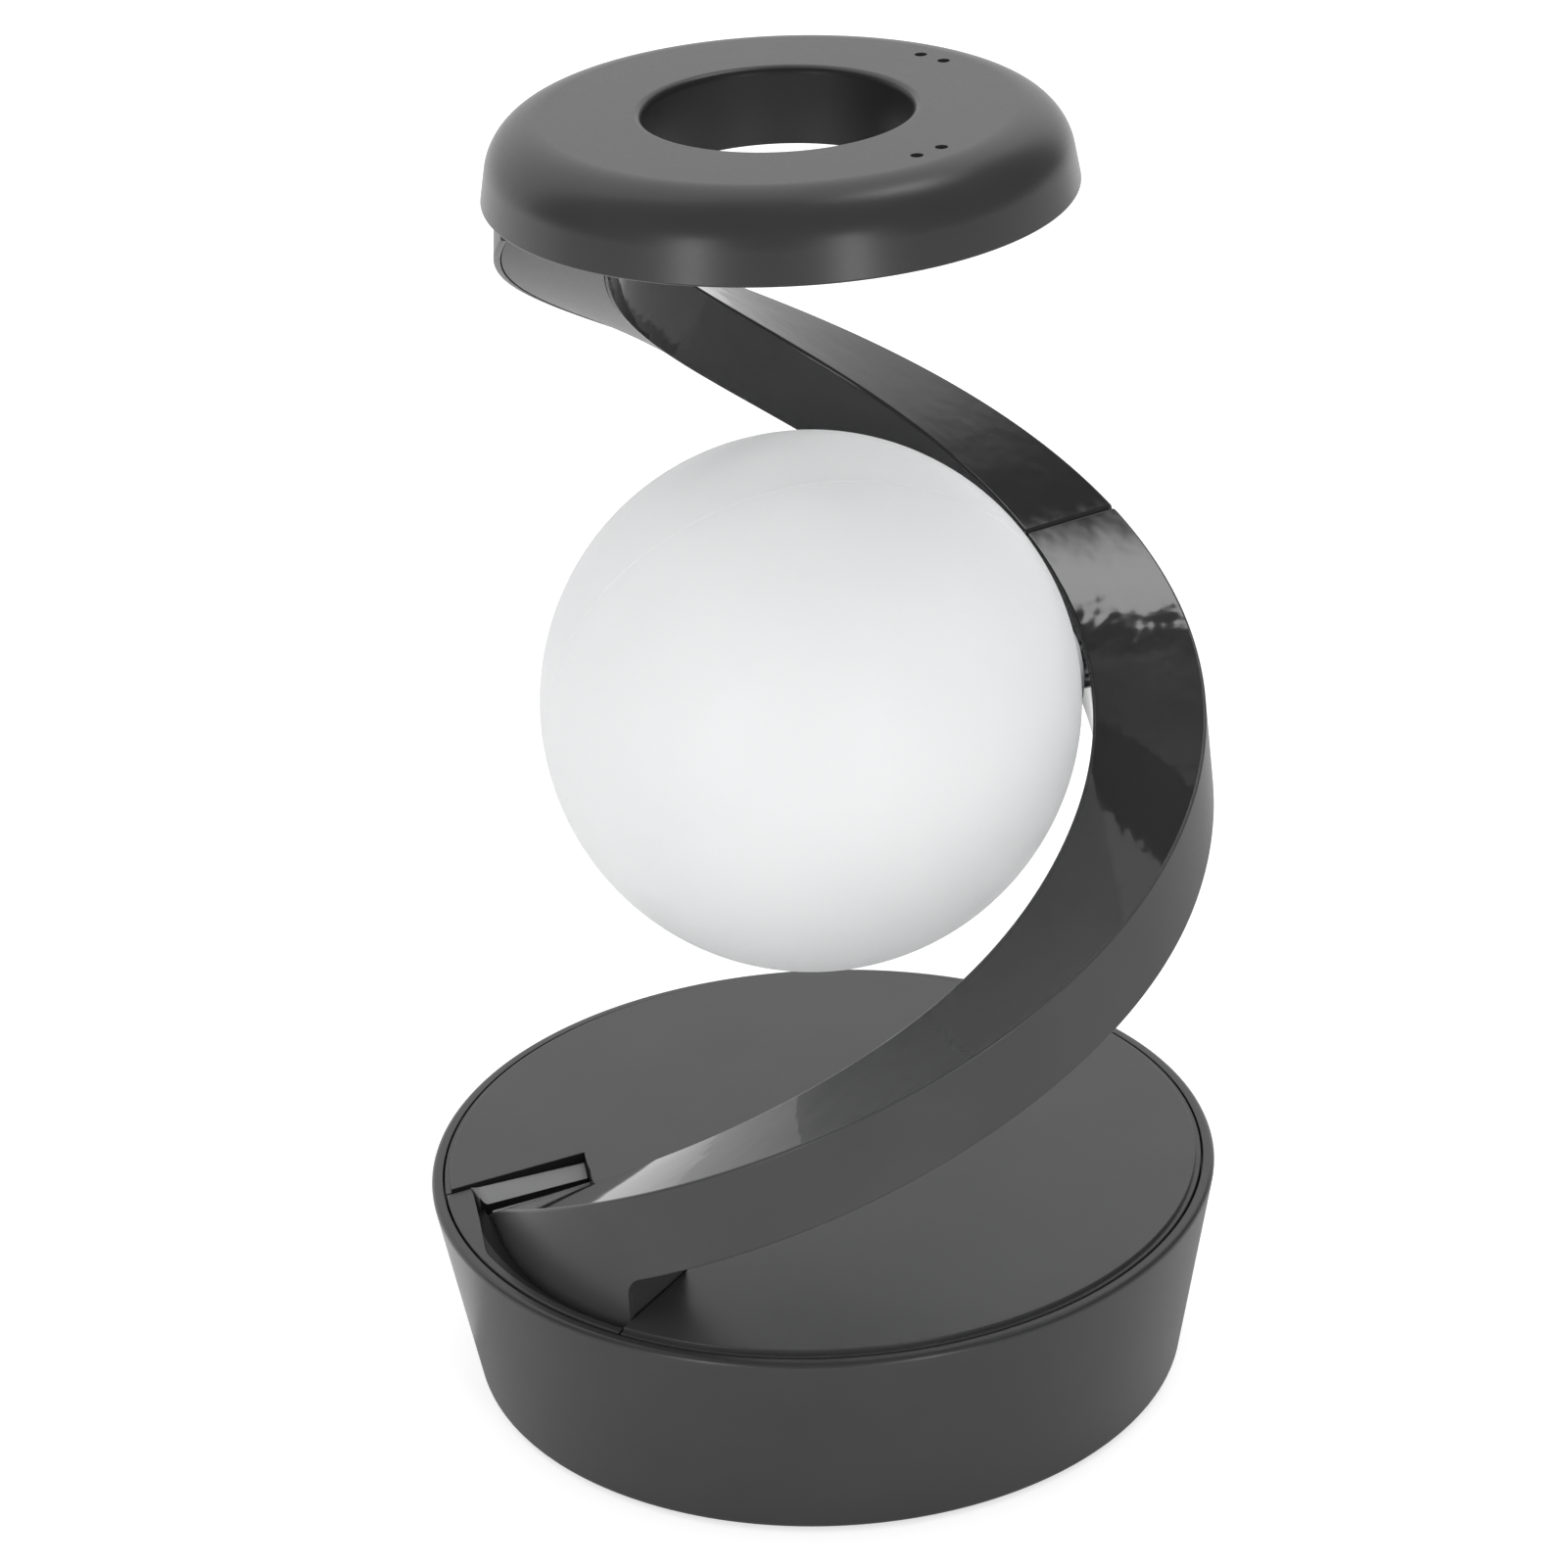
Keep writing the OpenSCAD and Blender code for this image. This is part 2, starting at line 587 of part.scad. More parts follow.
// Round-ended bar along +Z: its width in X, its height in Y
module stadium(w, h, length) {
  translate([h / 2 - w / 2, -h / 2, 0]) cube([w - h, h, length]);
  for (x = [h / 2 - w / 2, w / 2 - h / 2]) translate([x, 0, 0]) cylinder(d = h, h = length);
}

module usb_socket() {
  back = 1.2;
  tongue = [6.65, 0.7, 4.6];
  color(steel) translate([0, usb_mouth, usb_z]) rotate([90, 0, 0]) {
    difference() {
      stadium(usb_w, usb_h, usb_depth);
      translate([0, 0, -eps])
        stadium(usb_w - 2 * usb_sheet, usb_h - 2 * usb_sheet, usb_depth - back + eps);
    }
    translate([-tongue[0] / 2, -tongue[1] / 2, usb_depth - back - tongue[2]])
      cube([tongue[0], tongue[1], tongue[2] + back / 2]);
  }
}

module touch_electrode() {
  color([0.72, 0.45, 0.25]) translate([0, 0, ledge_z - touch_t]) cylinder(d = touch_d, h = touch_t);
}

// Ramp along the pocket's back wall, which sinks towards its inner end
module foot_ramp() {
  crest = plate_z - ramp_drop;
  start = moat_lip + crescent_w - eps;
  intersection() {
    translate([back_out[0], back_out[1], crest]) rotate([0, 0, atan2(back_dir[1], back_dir[0])])
      rotate([0, ramp_tilt, 0]) translate([start, 0, 0]) rotate([90, 0, 90])
        linear_extrude(back_len - start) polygon([[0, 0], [0, floor_z - crest],
          [-ramp_reach, floor_z - crest], [-ramp_reach, -ramp_fall]]);
    translate([0, 0, shelf_z]) linear_extrude(plate_z - shelf_z) foot_outline(fit, plate_r);
  }
}

module arm_foot() {
  tenon_end = notch_angle - strip_end_deg - degrees_at(fit, arm_r_foot);
  foot_r = base_out(shelf_z) - base_wall - fit;
  color(dark) difference() {
    union() {
      translate([0, 0, shelf_z]) linear_extrude(foot_t) foot_outline(fit, foot_r);
      foot_ramp();
      translate([0, 0, floor_z - eps]) linear_extrude(pocket_depth - lip_drop + eps) difference() {
        foot_outline(fit, foot_r);
        moat_outline();
      }
      translate([0, 0, ledge_z]) linear_extrude(plate_t - lip_drop) difference() {
        foot_outline(fit, plate_r);
        moat_outline();
      }
      sweep([for (t = steps(tenon_angle, tenon_end))
        [t, filling(t, floor_z - eps, arm_z(t) - arm_wall - 2 * fit)]]);
    }
    for (a = foot_screw_angles) rotate([0, 0, a]) translate([arm_mid_r(a), 0, shelf_z - eps])
      cylinder(d = screw_d + fit, h = foot_t + foot_screw_grip + 2 * eps);
  }
}

module foot_screws() {
  color(steel) for (a = foot_screw_angles) rotate([0, 0, a])
    translate([arm_mid_r(a), 0, shelf_z - shelf_t]) screw(shelf_t + foot_t + foot_screw_grip);
}

module arm_lower_shell() {
  step_start = notch_angle + hair;
  step_end = step_start + notch_deg;
  angles = concat(
    steps(foot_angle, notch_angle),
    [for (i = [0:5]) step_start + notch_deg * i / 5],
    [for (t = steps(step_end, splice_angle - seam_deg / 2)) if (t > step_end + hair) t]);
  color(dark) difference() {
    sweep([for (t = angles) [t, channel(t)]]);
    on_axle(arm_in_r(axle_angle) - 2 * arm_wall)
      cylinder(d = journal_d + 2 * fit, h = 4 * arm_wall);
  }
}

module arm_lower_strip() {
  leg_start = notch_angle - strip_end_deg;
  step_start = notch_angle + hair;
  step_end = step_start + notch_deg;
  angles = concat(
    steps(leg_start, notch_angle),
    [for (i = [0:5]) step_start + notch_deg * i / 5],
    [for (t = steps(step_end, splice_angle - seam_deg / 2)) if (t > step_end + hair) t]);
  color(dark) sweep([for (t = angles)
    [t, filling(t, arm_low(t) + (t > notch_angle ? strip_inset : 0), strip_top(t))]]);
}

module arm_splice() {
  color(dark) sweep([for (t = steps(splice_angle - splice_deg, splice_angle + splice_deg))
    [t, filling(t, strip_top(t) + 2 * fit, arm_z(t) - arm_wall - 2 * fit)]]);
}

module arm_upper_shell() {
  angles = concat(
    steps(splice_angle + seam_deg / 2, head_angle),
    [for (t = steps(head_angle, tip_angle)) if (t > head_angle + hair) t]);
  color(dark) sweep([for (t = angles) [t, channel(t)]]);
}

module arm_upper_strip() {
  turn_up = tip_angle - tip_end_deg;
  flat = [for (t = steps(splice_angle + seam_deg / 2, turn_up))
    [t, filling(t, arm_low(t) + strip_inset, strip_top(t))]];
  upright = [for (t = [turn_up + hair, tip_angle])
    [t, filling(t, arm_low(t) + strip_inset, head_z - arm_wall - fit)]];
  color(dark) sweep(concat(flat, upright));
}

module axle_bracket() {
  function block(t) = let (in = arm_in_r(t) + arm_wall + fit, low = strip_top(t) + 2 * fit,
    top = arm_z(t) - arm_wall - 2 * fit)
    leaned(t, [[in + bracket_d, low], [in + bracket_d, top], [in, top], [in, low]]);
  color([0.5, 0.5, 0.52]) difference() {
    sweep([for (t = steps(axle_angle - bracket_deg, axle_angle + bracket_deg)) [t, block(t)]]);
    on_axle(bracket_in - 2) cylinder(d = shank_d + 2 * fit, h = 2 * bracket_d);
    on_axle(axle_seat - 4) cylinder(d = journal_d + 2 * fit, h = 4);
    on_axle(nut_seat) cylinder(d = nut_af / cos(30) + 2 * fit, h = bracket_d);
  }
}

module axle() {
  journal_in = post_in + led_board_t;
  color(steel) on_axle(0) difference() {
    union() {
      translate([0, 0, journal_in]) cylinder(d = journal_d, h = axle_seat - journal_in);
      translate([0, 0, axle_seat - eps]) cylinder(d = shank_d, h = axle_out - axle_seat + eps);
    }
    translate([0, 0, journal_in - eps]) cylinder(d = wire_bore_d, h = axle_out - journal_in + 2 * eps);
  }
}

module axle_nut() {
  color(steel) on_axle(nut_seat) difference() {
    cylinder(d = nut_af / cos(30), h = nut_t, $fn = 6);
    translate([0, 0, -eps]) cylinder(d = shank_d + fit, h = nut_t + 2 * eps);
  }
}

module thrust_washer() {
  color([0.85, 0.85, 0.83]) on_axle(washer_in) tube(washer_d, journal_d + fit, washer_t);
}

module led_post() {
  color([0.75, 0.76, 0.78]) on_axle(post_in) difference() {
    union() {
      cylinder(d = led_board_d, h = led_board_t);
      cylinder(d = post_d, h = post_len);
    }
    translate([0, 0, led_board_t]) cylinder(d = journal_d + fit, h = post_len);
    translate([0, 0, -eps]) cylinder(d = wire_bore_d, h = led_board_t + 2 * eps);
  }
}

module led_board() {
  color([0.93, 0.93, 0.9]) on_axle(post_in - led_board_t)
    tube(led_board_d, wire_bore_d, led_board_t);
}

module led_chips() {
  color([0.95, 0.86, 0.35]) on_axle(post_in - led_board_t - chip_h) for (a = chip_angles)
    rotate([0, 0, a]) translate([chip_circle_r - chip_w / 2, -chip_w / 2, 0])
      cube([chip_w, chip_w, chip_h]);
}

module globe_hub() {
  color(opal) on_axle(0) difference() {
    union() {
      translate([0, 0, flange_in]) cylinder(d = hub_flange_d, h = hub_flange_t);
      translate([0, 0, flange_in]) cylinder(d = hub_d, h = hub_out - flange_in);
    }
    translate([0, 0, flange_in - eps])
      cylinder(d = journal_d + 2 * run_gap, h = hub_out - flange_in + 2 * eps);
  }
}

// Half of the globe's wall, on the -Y side of the seam, before the neck is cut
module globe_half() {
  difference() {
    sphere(r = globe_r);
    sphere(r = globe_r - globe_wall);
    translate([-2 * globe_r, 0, -2 * globe_r]) cube(4 * globe_r);
  }
}

// Ring round the seam's axis, from a depth behind the seam plane to a height past it
module seam_ring(inner_r, outer_r, depth, height) {
  rotate([-90, 0, 0]) rotate_extrude()
    translate([inner_r, -depth]) square([outer_r - inner_r, height + depth]);
}

module globe_place() {
  on_axle(globe_shift) rotate([0, 0, globe_phase]) difference() {
    children();
    cylinder(d = hub_d + 2 * fit, h = 2 * globe_r);
  }
}

module globe_front() {
  globe_in = globe_r - globe_wall;
  color(opal) globe_place() {
    globe_half();
    seam_ring(globe_in, globe_in + lip_t, lip_h, lip_h);
  }
}

module globe_rear() {
  globe_in = globe_r - globe_wall;
  color(opal) globe_place() difference() {
    mirror([0, 1, 0]) globe_half();
    seam_ring(globe_in - 1, globe_in + lip_t + fit, eps, lip_h + fit);
  }
}

// Ring section without its hole edge: the leaning wall and the round shoulder, drawn in by a margin
head_angle_lean = atan(head_lean / head_h);
function head_arc(margin) = let (z = head_h - head_round,
  r = head_r - z * tan(head_angle_lean) - head_round / cos(head_angle_lean))
  arc(r, z, head_round - margin, head_angle_lean, 90, 14);
function head_wall_r(z) = head_r - head_wall / cos(head_angle_lean) - z * tan(head_angle_lean);

module ring_shell() {
  hole_in = hole_r + head_wall;
  color(dark) translate([0, 0, head_z]) difference() {
    union() {
      rotate_extrude() difference() {
        polygon(concat([[hole_r, 0], [head_r, 0]], head_arc(0),
          arc(hole_r + hole_round, head_h - hole_round, hole_round, 90, 180)));
        polygon(concat([[hole_in, -eps], [head_wall_r(-eps), -eps]], head_arc(head_wall),
          [[hole_in, head_h - head_wall]]));
      }
      for (a = head_screw_angles) rotate([0, 0, a])
        translate([pin_circle_r, 0, head_cover_t]) cylinder(d = boss_d, h = head_h - head_cover_t - eps);
    }
    for (a = head_screw_angles) rotate([0, 0, a])
      translate([pin_circle_r, 0, 0]) cylinder(d = screw_d + fit, h = head_h - head_wall);
    for (a = pin_pair_angles) for (s = [-1, 1]) rotate([0, 0, a + s * pin_half_angle])
      translate([pin_circle_r, 0, 0]) cylinder(d = pin_hole_d, h = 2 * head_h);
  }
}

module ring_cover() {
  cover_out = head_wall_r(head_cover_t) - fit;
  color(dark) translate([0, 0, head_z]) difference() {
    tube(2 * cover_out, 2 * (hole_r + head_wall + fit), head_cover_t);
    for (a = head_screw_angles) rotate([0, 0, a]) translate([pin_circle_r, 0, -eps]) {
      cylinder(d = screw_d + 2 * fit, h = head_cover_t + 2 * eps);
      cylinder(d = screw_head_d + 2 * fit, h = screw_head_h + eps);
    }
  }
}

module ring_board() {
  color(board_green) translate([0, 0, head_z + head_cover_t]) difference() {
    tube(2 * ring_board_out_r, 2 * ring_board_in_r, board_t);
    for (a = head_screw_angles) rotate([0, 0, a]) translate([pin_circle_r, 0, -eps])
      cylinder(d = boss_d + 2 * fit, h = board_t + 2 * eps);
  }
}

module ring_screws() {
  color(steel) for (a = head_screw_angles) rotate([0, 0, a])
    translate([pin_circle_r, 0, head_z + screw_head_h]) screw(short_screw_len);
}

base_shell();
top_plate();
bottom_cover();
foot_pads();
cover_screws();
ballast_plate();
main_board();
board_parts();
board_screws();
usb_socket();
touch_electrode();
arm_foot();
foot_screws();
arm_lower_shell();
arm_lower_strip();
arm_splice();
arm_upper_shell();
arm_upper_strip();
axle_bracket();
axle();
axle_nut();
thrust_washer();
led_post();
led_board();
led_chips();
globe_hub();
globe_front();
globe_rear();
ring_shell();
ring_cover();
ring_board();
ring_screws();
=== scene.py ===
"""Looks of the spiral table lamp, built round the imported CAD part.

The lamp's sizes are named in millimetres, as in the CAD source, and turned into metres when a mesh is
made; the studio's are in metres. +Z is up and the front of the lamp faces -Y. Angles about Z are in
degrees from +X, counter-clockwise seen from above.
"""

import json
import math

import bpy
from mathutils import Matrix, Vector


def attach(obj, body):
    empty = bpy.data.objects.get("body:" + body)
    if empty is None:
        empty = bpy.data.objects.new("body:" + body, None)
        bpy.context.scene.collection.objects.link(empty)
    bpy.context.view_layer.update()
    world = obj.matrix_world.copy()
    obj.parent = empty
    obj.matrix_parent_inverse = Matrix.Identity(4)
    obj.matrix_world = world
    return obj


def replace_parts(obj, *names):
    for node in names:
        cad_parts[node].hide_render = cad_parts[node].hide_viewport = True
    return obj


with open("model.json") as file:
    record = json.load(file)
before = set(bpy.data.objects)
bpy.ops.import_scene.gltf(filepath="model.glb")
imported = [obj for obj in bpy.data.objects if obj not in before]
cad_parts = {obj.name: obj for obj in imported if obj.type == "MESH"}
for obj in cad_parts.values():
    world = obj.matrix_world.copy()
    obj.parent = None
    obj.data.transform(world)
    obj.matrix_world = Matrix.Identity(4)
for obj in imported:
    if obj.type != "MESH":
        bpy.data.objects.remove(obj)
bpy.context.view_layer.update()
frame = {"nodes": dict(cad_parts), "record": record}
nodes = frame["nodes"]

MM = 0.001

# Base
BASE_R = 60.0
BASE_FOOT_R = 54.2
BASE_H = 32.5
BASE_WALL = 2.0
RIM_W = 1.9
RIM_ROUND = 0.8
RIM_IN_ROUND = 0.15
SKIRT_ROUND = 1.2
SKIRT_IN_ROUND = 0.2
PAD_STAND = 0.8
PLATE_T = 3.3
PLATE_RISE = 0.7
PLATE_GAP = 0.3
PLATE_EDGE = 0.15
STEP_H = 0.6
STEP_W = 0.8
STEP_EDGE = 0.1
LEDGE_T = 2.0
LEDGE_W = 14.0
PLATE_Z = BASE_H + PLATE_RISE
STEP_Z = PLATE_Z - STEP_H
PLATE_R = BASE_R - RIM_W - PLATE_GAP
LEDGE_Z = PLATE_Z - PLATE_T

# Pocket for the foot of the arm, with its moat and its lip
POCKET_DEPTH = 4.9
POCKET_IN_ANGLE = -182.7
POCKET_OUT_ANGLE = -171.9
POCKET_DRAW = 0.9
POCKET_SPARE_DEG = 0.2
# Depth below the plate's face at which the painted shade of the pocket's walls begins
POCKET_SHADE_DEPTH = 0.1
FOOT_T = 3.0
FOOT_R = 56.5
FOOT_EDGE = 0.1
MOAT_DEPTH = 2.7
MOAT_END_DEG = 1.5
MOAT_SPARE_DEG = 0.8
MOAT_GAP = 0.05
MOAT_EDGE = 0.02
MOAT_LIP = 1.4
LIP_DROP = 0.5
LIP_EDGE = 0.25
LIP_END_DEG = 0.35
CRESCENT_W = 2.7
CRESCENT_ANGLE = -153.0
SHELF_R = 54.1
SHELF_RISE = 0.35
SHELF_EDGE = 0.15
FLOOR_Z = PLATE_Z - POCKET_DEPTH
MOAT_Z = PLATE_Z - MOAT_DEPTH
SHELF_Z = MOAT_Z + SHELF_RISE
MOAT_END_ANGLE = POCKET_OUT_ANGLE + MOAT_END_DEG

# Ramp in the pocket
RAMP_REACH = 3.6
RAMP_DROP = 0.5
RAMP_FALL = 1.5
RAMP_TILT = 3.0
RAMP_EASE = 0.6
RAMP_LAP = 0.1
RAMP_CREST_EDGE = 0.3
RAMP_FRONT_EDGE = 0.1
# Share of the ramp's length in which it falls from level to its slope
RAMP_FILLET = 0.08

# Toe of the arm
TOE_DROP = 1.3
TOE_DIP = 1.5
TOE_FADE = 18.0
TOE_FLARE = 0.9
TOE_FLARE_DEG = 6.0
TOE_CAP_T = 0.45
TOE_CAP_GAP = 0.15
TOE_CAP_RISE = 0.1
TOE_CAP_EDGE = 0.15

# Arm
ARM_W = 15.5
ARM_H = 14.1
ARM_WALL = 2.0
ARM_SLOPE = 167.3 / 360
ARM_BOW = 1.94
ARM_SWELL = 1.0
ARM_LEAN = 1.1
SWELL_START = -75.0
SWELL_END = -25.0
ARM_R_FOOT = 51.3
ARM_R_TOP = 41.0
FOOT_ANGLE = -168.0
NOTCH_ANGLE = -121.5
WIDEST_ANGLE = -29.0
SPLICE_ANGLE = 32.0
HEAD_ANGLE = 166.4
TIP_H = 4.7
NOTCH_ROUND = 2.0
SEAM = 0.25
SEAM_ROUND = 0.45
FIT = 0.15
OUT_LOW_EDGE = 0.35
OUT_TOP_EDGE = 0.45
IN_TOP_EDGE = 0.6
IN_LOW_EDGE = 0.25

# Strips under the arm and the rims beside them
RIM_OUT_W = 1.0
RIM_OUT_EDGE = 0.15
RIM_IN_W = 0.45
RIM_IN_EDGE = 0.1
STRIP_FIT = 0.12
STRIP_T = 1.6
STRIP_INSET = 0.2
STRIP_EDGE = 0.15
STRIP_END_DEG = 2.4
LEG_SPARE_DEG = 0.4
LEG_END_DEG = 0.3
REBATE_ROOM = 0.05

# Heights between which the arm's glossy faces turn from satin to full gloss, and from calm to wavy
SATIN_SPAN = (34.0, 42.0)
CALM_SPAN = (46.0, 72.0)

# Globe and axle
GLOBE_R = 39.6
GLOBE_WALL = 1.8
GLOBE_SHIFT = 1.2
GLOBE_GAP = 0.3
NEAR_ANGLE = 40.0
GLOBE_PHASE = 15.0
GLOBE_SEAM = 0.12
GLOBE_POLE_R = 0.02
AXLE_ANGLE = 12.0
HUB_R = 5.7
HUB_CUT = (20.0, 50.0)

# Ring head
HEAD_R = 41.7
HEAD_H = 11.4
HEAD_LEAN = 1.85
HEAD_ROUND = 8.2
HEAD_LOW_EDGE = 0.35
HOLE_R = 18.8
HOLE_ROUND = 1.2
HOLE_LOW_EDGE = 0.3
PIN_HOLE_R = 0.9
PIN_HOLE_Z = 4.0
PIN_CIRCLE_R = 30.0
PIN_ANGLES = (37.6, 46.4, -52.4, -43.6)

# Power socket
USB_W = 8.94
USB_H = 3.26
USB_Z = 15.23
USB_CUT = 4.0

# The photograph's camera: focal length and frame in its pixels, place in millimetres, angles in radians
PHOTO_PX = 1601
FOCAL_PX = 4759.96
CAMERA_PLACE = Vector((0.0, -619.0, 393.44))
CAMERA_YAW = -0.0053
CAMERA_PITCH = 0.4489
CAMERA_ROLL = -0.0453
SENSOR_MM = 36.0
CLIP_START = 0.01
CLIP_END = 20.0

# Fineness and shading of the meshes: counts of steps, steps in degrees and limits
LATHE_STEPS = 256
GLOBE_LATHE_STEPS = 160
GLOBE_STEPS = 64
SHOULDER_STEPS = 28
HOLE_STEPS = 8
DECK_STEPS = 200
NOTCH_STEPS = 12
RAMP_FILLET_STEPS = 8
RAMP_STEPS = 10
PIN_STEPS = 32
ARC_STEPS = 5
ARM_STEP = 0.75
POCKET_STEP = 1.5
DOME_STEP = 5
SHARP_DEG = 32
FLAT_WEIGHT = 90
MITRE_LIMIT = 0.3
# Turn between two sections that stand for a step, and how far cutters reach past what they cut
HAIR = 0.02
CUT_SPARE = 1.0


# Shape of the arm and of the pocket for its foot


def smooth(x):
    """Soft step from 0 to 1 while x runs from 0 to 1."""
    x = max(0.0, min(1.0, x))
    return x * x * (3 - 2 * x)


def bow(x):
    """Share of the arm's draw-in at a share x of the way from its widest place."""
    return (math.sqrt(1 + (ARM_BOW * x) ** 2) - 1) / (math.sqrt(1 + ARM_BOW**2) - 1)


def arm_r(t):
    """Outer radius of the arm at angle t."""
    if t < WIDEST_ANGLE:
        share = bow((WIDEST_ANGLE - t) / (WIDEST_ANGLE - FOOT_ANGLE))
        return ARM_R_MAX - (ARM_R_MAX - ARM_R_FOOT) * share
    share = bow((t - WIDEST_ANGLE) / (HEAD_ANGLE - WIDEST_ANGLE))
    return ARM_R_MAX - (ARM_R_MAX - ARM_R_TOP) * share


def toe_share(t):
    """Share of the toe's dip and slant at angle t."""
    return max(0.0, 1 - (t - FOOT_ANGLE) / TOE_FADE)


def arm_z(t):
    """Height of the arm's top face at angle t, before the ring head cuts it off."""
    return PLATE_Z - TOE_DROP + ARM_SLOPE * (t - FOOT_ANGLE) - TOE_DIP * toe_share(t) ** 2


def swell(t):
    """Share of the arm's extra width and lean at angle t."""
    return smooth((t - SWELL_START) / (SWELL_END - SWELL_START))


def arm_in_r(t):
    return arm_r(t) - ARM_W - ARM_SWELL * swell(t)


def leaned(t, corners):
    """Corners of a section, moved out by the lean of the arm's walls."""
    lean_share = ARM_LEAN * swell(t) / ARM_H
    return [(x + lean_share * (arm_z(t) - z), z, radius) for x, z, radius in corners]


HEAD_Z = arm_z(HEAD_ANGLE)
TIP_ANGLE = HEAD_ANGLE + (ARM_H - TIP_H) / ARM_SLOPE
AXLE_Z = arm_z(AXLE_ANGLE) - (ARM_WALL + ARM_H - STRIP_T - STRIP_INSET) / 2

# The arm's outer radius at its widest place, from the room that its lower inner edge leaves for the globe
near_rise = arm_z(NEAR_ANGLE) - ARM_H - AXLE_Z
near_shift = GLOBE_SHIFT * math.cos(math.radians(NEAR_ANGLE - AXLE_ANGLE))
near_globe_r = math.sqrt(GLOBE_R**2 - near_rise**2) + near_shift
near_arm_r = near_globe_r + GLOBE_GAP + ARM_W + ARM_SWELL - ARM_LEAN
near_share = bow((NEAR_ANGLE - WIDEST_ANGLE) / (HEAD_ANGLE - WIDEST_ANGLE))
ARM_R_MAX = (near_arm_r - ARM_R_TOP * near_share) / (1 - near_share)
NOTCH_DEG = math.degrees(NOTCH_ROUND / arm_r(NOTCH_ANGLE))


def arm_top(t):
    return min(arm_z(t), HEAD_Z)


def arm_low(t):
    """Lower edge of the arm: the pocket's floor before the step, then the ribbon with the step's fillet."""
    if t <= NOTCH_ANGLE:
        return FLOOR_Z
    x = min(1.0, (t - NOTCH_ANGLE) / NOTCH_DEG)
    return arm_z(t) - ARM_H - NOTCH_ROUND * (1 - math.sqrt(max(0.0, 1 - (1 - x) ** 2)))


def polar(r, t):
    a = math.radians(t)
    return Vector((r * math.cos(a), r * math.sin(a)))


def on_radius(start, direction, r):
    """Point where a line from outside first meets a radius."""
    reach = -start.dot(direction)
    return start + direction * (reach - math.sqrt(reach**2 - start.length_squared + r**2))


# Back wall of the foot pocket, from the rim inwards, and the toe's end, which runs along it
back_start = polar(PLATE_R, POCKET_OUT_ANGLE)
back_end = polar(arm_in_r(FOOT_ANGLE) - FIT + POCKET_DRAW, POCKET_IN_ANGLE)
back_along = (back_end - back_start).normalized()
back_front = Vector((back_along.y, -back_along.x))
toe_in = on_radius(polar(ARM_R_FOOT, FOOT_ANGLE), back_along, arm_in_r(FOOT_ANGLE))
TOE_TURN = (FOOT_ANGLE - math.degrees(math.atan2(toe_in.y, toe_in.x))) % 360
TOE_IN_ANGLE = FOOT_ANGLE - TOE_TURN


def back_point(along, ahead):
    """Point beside the pocket's back wall: so far along it from the rim, and so far in front of it."""
    return back_start + back_along * along + back_front * ahead


def turned(t, r):
    """Angle of a section's point at radius r, turned for the toe's slant."""
    return t - TOE_TURN * toe_share(t) * (ARM_R_FOOT - r) / ARM_W


def pocket_in_r(t):
    """Edge of the top plate beside the arm's inner face, which draws out past the toe."""
    draw = max(0.0, (TOE_IN_ANGLE - t) / (TOE_IN_ANGLE - POCKET_IN_ANGLE))
    return arm_in_r(max(t, FOOT_ANGLE)) - FIT + POCKET_DRAW * draw


def steps(start, end, step=ARM_STEP):
    n = max(1, math.ceil(abs(end - start) / step))
    return [start + (end - start) * i / n for i in range(n + 1)]


# Mesh tools


def arc(x, y, radius, start, end, count):
    """Points of an arc about (x, y), from a start angle to an end angle."""
    centre = Vector((x, y))
    return [centre + polar(radius, start + (end - start) * k / count) for k in range(count + 1)]


def rounded(corners):
    """Closed outline through (x, y, radius) corners, each with an arc of its radius."""
    points = []
    for i, (x, y, radius) in enumerate(corners):
        here = Vector((x, y))
        if radius <= 0:
            points.append(here)
            continue
        before = (Vector(corners[i - 1][:2]) - here).normalized()
        after = (Vector(corners[(i + 1) % len(corners)][:2]) - here).normalized()
        half = before.angle(after) / 2
        centre = here + (before + after).normalized() * (radius / math.sin(half))
        start = here + before * (radius / math.tan(half)) - centre
        end = here + after * (radius / math.tan(half)) - centre
        turn = math.atan2(start.x * end.y - start.y * end.x, start.dot(end))
        for k in range(ARC_STEPS + 1):
            c, s = math.cos(turn * k / ARC_STEPS), math.sin(turn * k / ARC_STEPS)
            points.append(centre + Vector((start.x * c - start.y * s, start.x * s + start.y * c)))
    return points


def add_piece(name, verts, faces, body, slot, materials, face_materials=None):
    """New mesh piece from points in millimetres, riding on a body."""
    mesh = bpy.data.meshes.new(name)
    mesh.from_pydata([Vector(v) * MM for v in verts], [], faces)
    piece = bpy.data.objects.new(name, mesh)
    bpy.context.scene.collection.objects.link(piece)
    for material in materials:
        mesh.materials.append(material)
    if face_materials:
        mesh.polygons.foreach_set("material_index", face_materials)
    finish_shading(piece)
    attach(piece, body)
    return piece


def finish_shading(piece):
    mesh = piece.data
    mesh.validate()
    mesh.polygons.foreach_set("use_smooth", [True] * len(mesh.polygons))
    mesh.set_sharp_from_angle(angle=math.radians(SHARP_DEG))
    mesh.update()


def even_normals(piece):
    """Keeps large flat faces flat beside their rounded edges."""
    modifier = piece.modifiers.new("even_normals", "WEIGHTED_NORMAL")
    modifier.keep_sharp = True
    modifier.weight = FLAT_WEIGHT


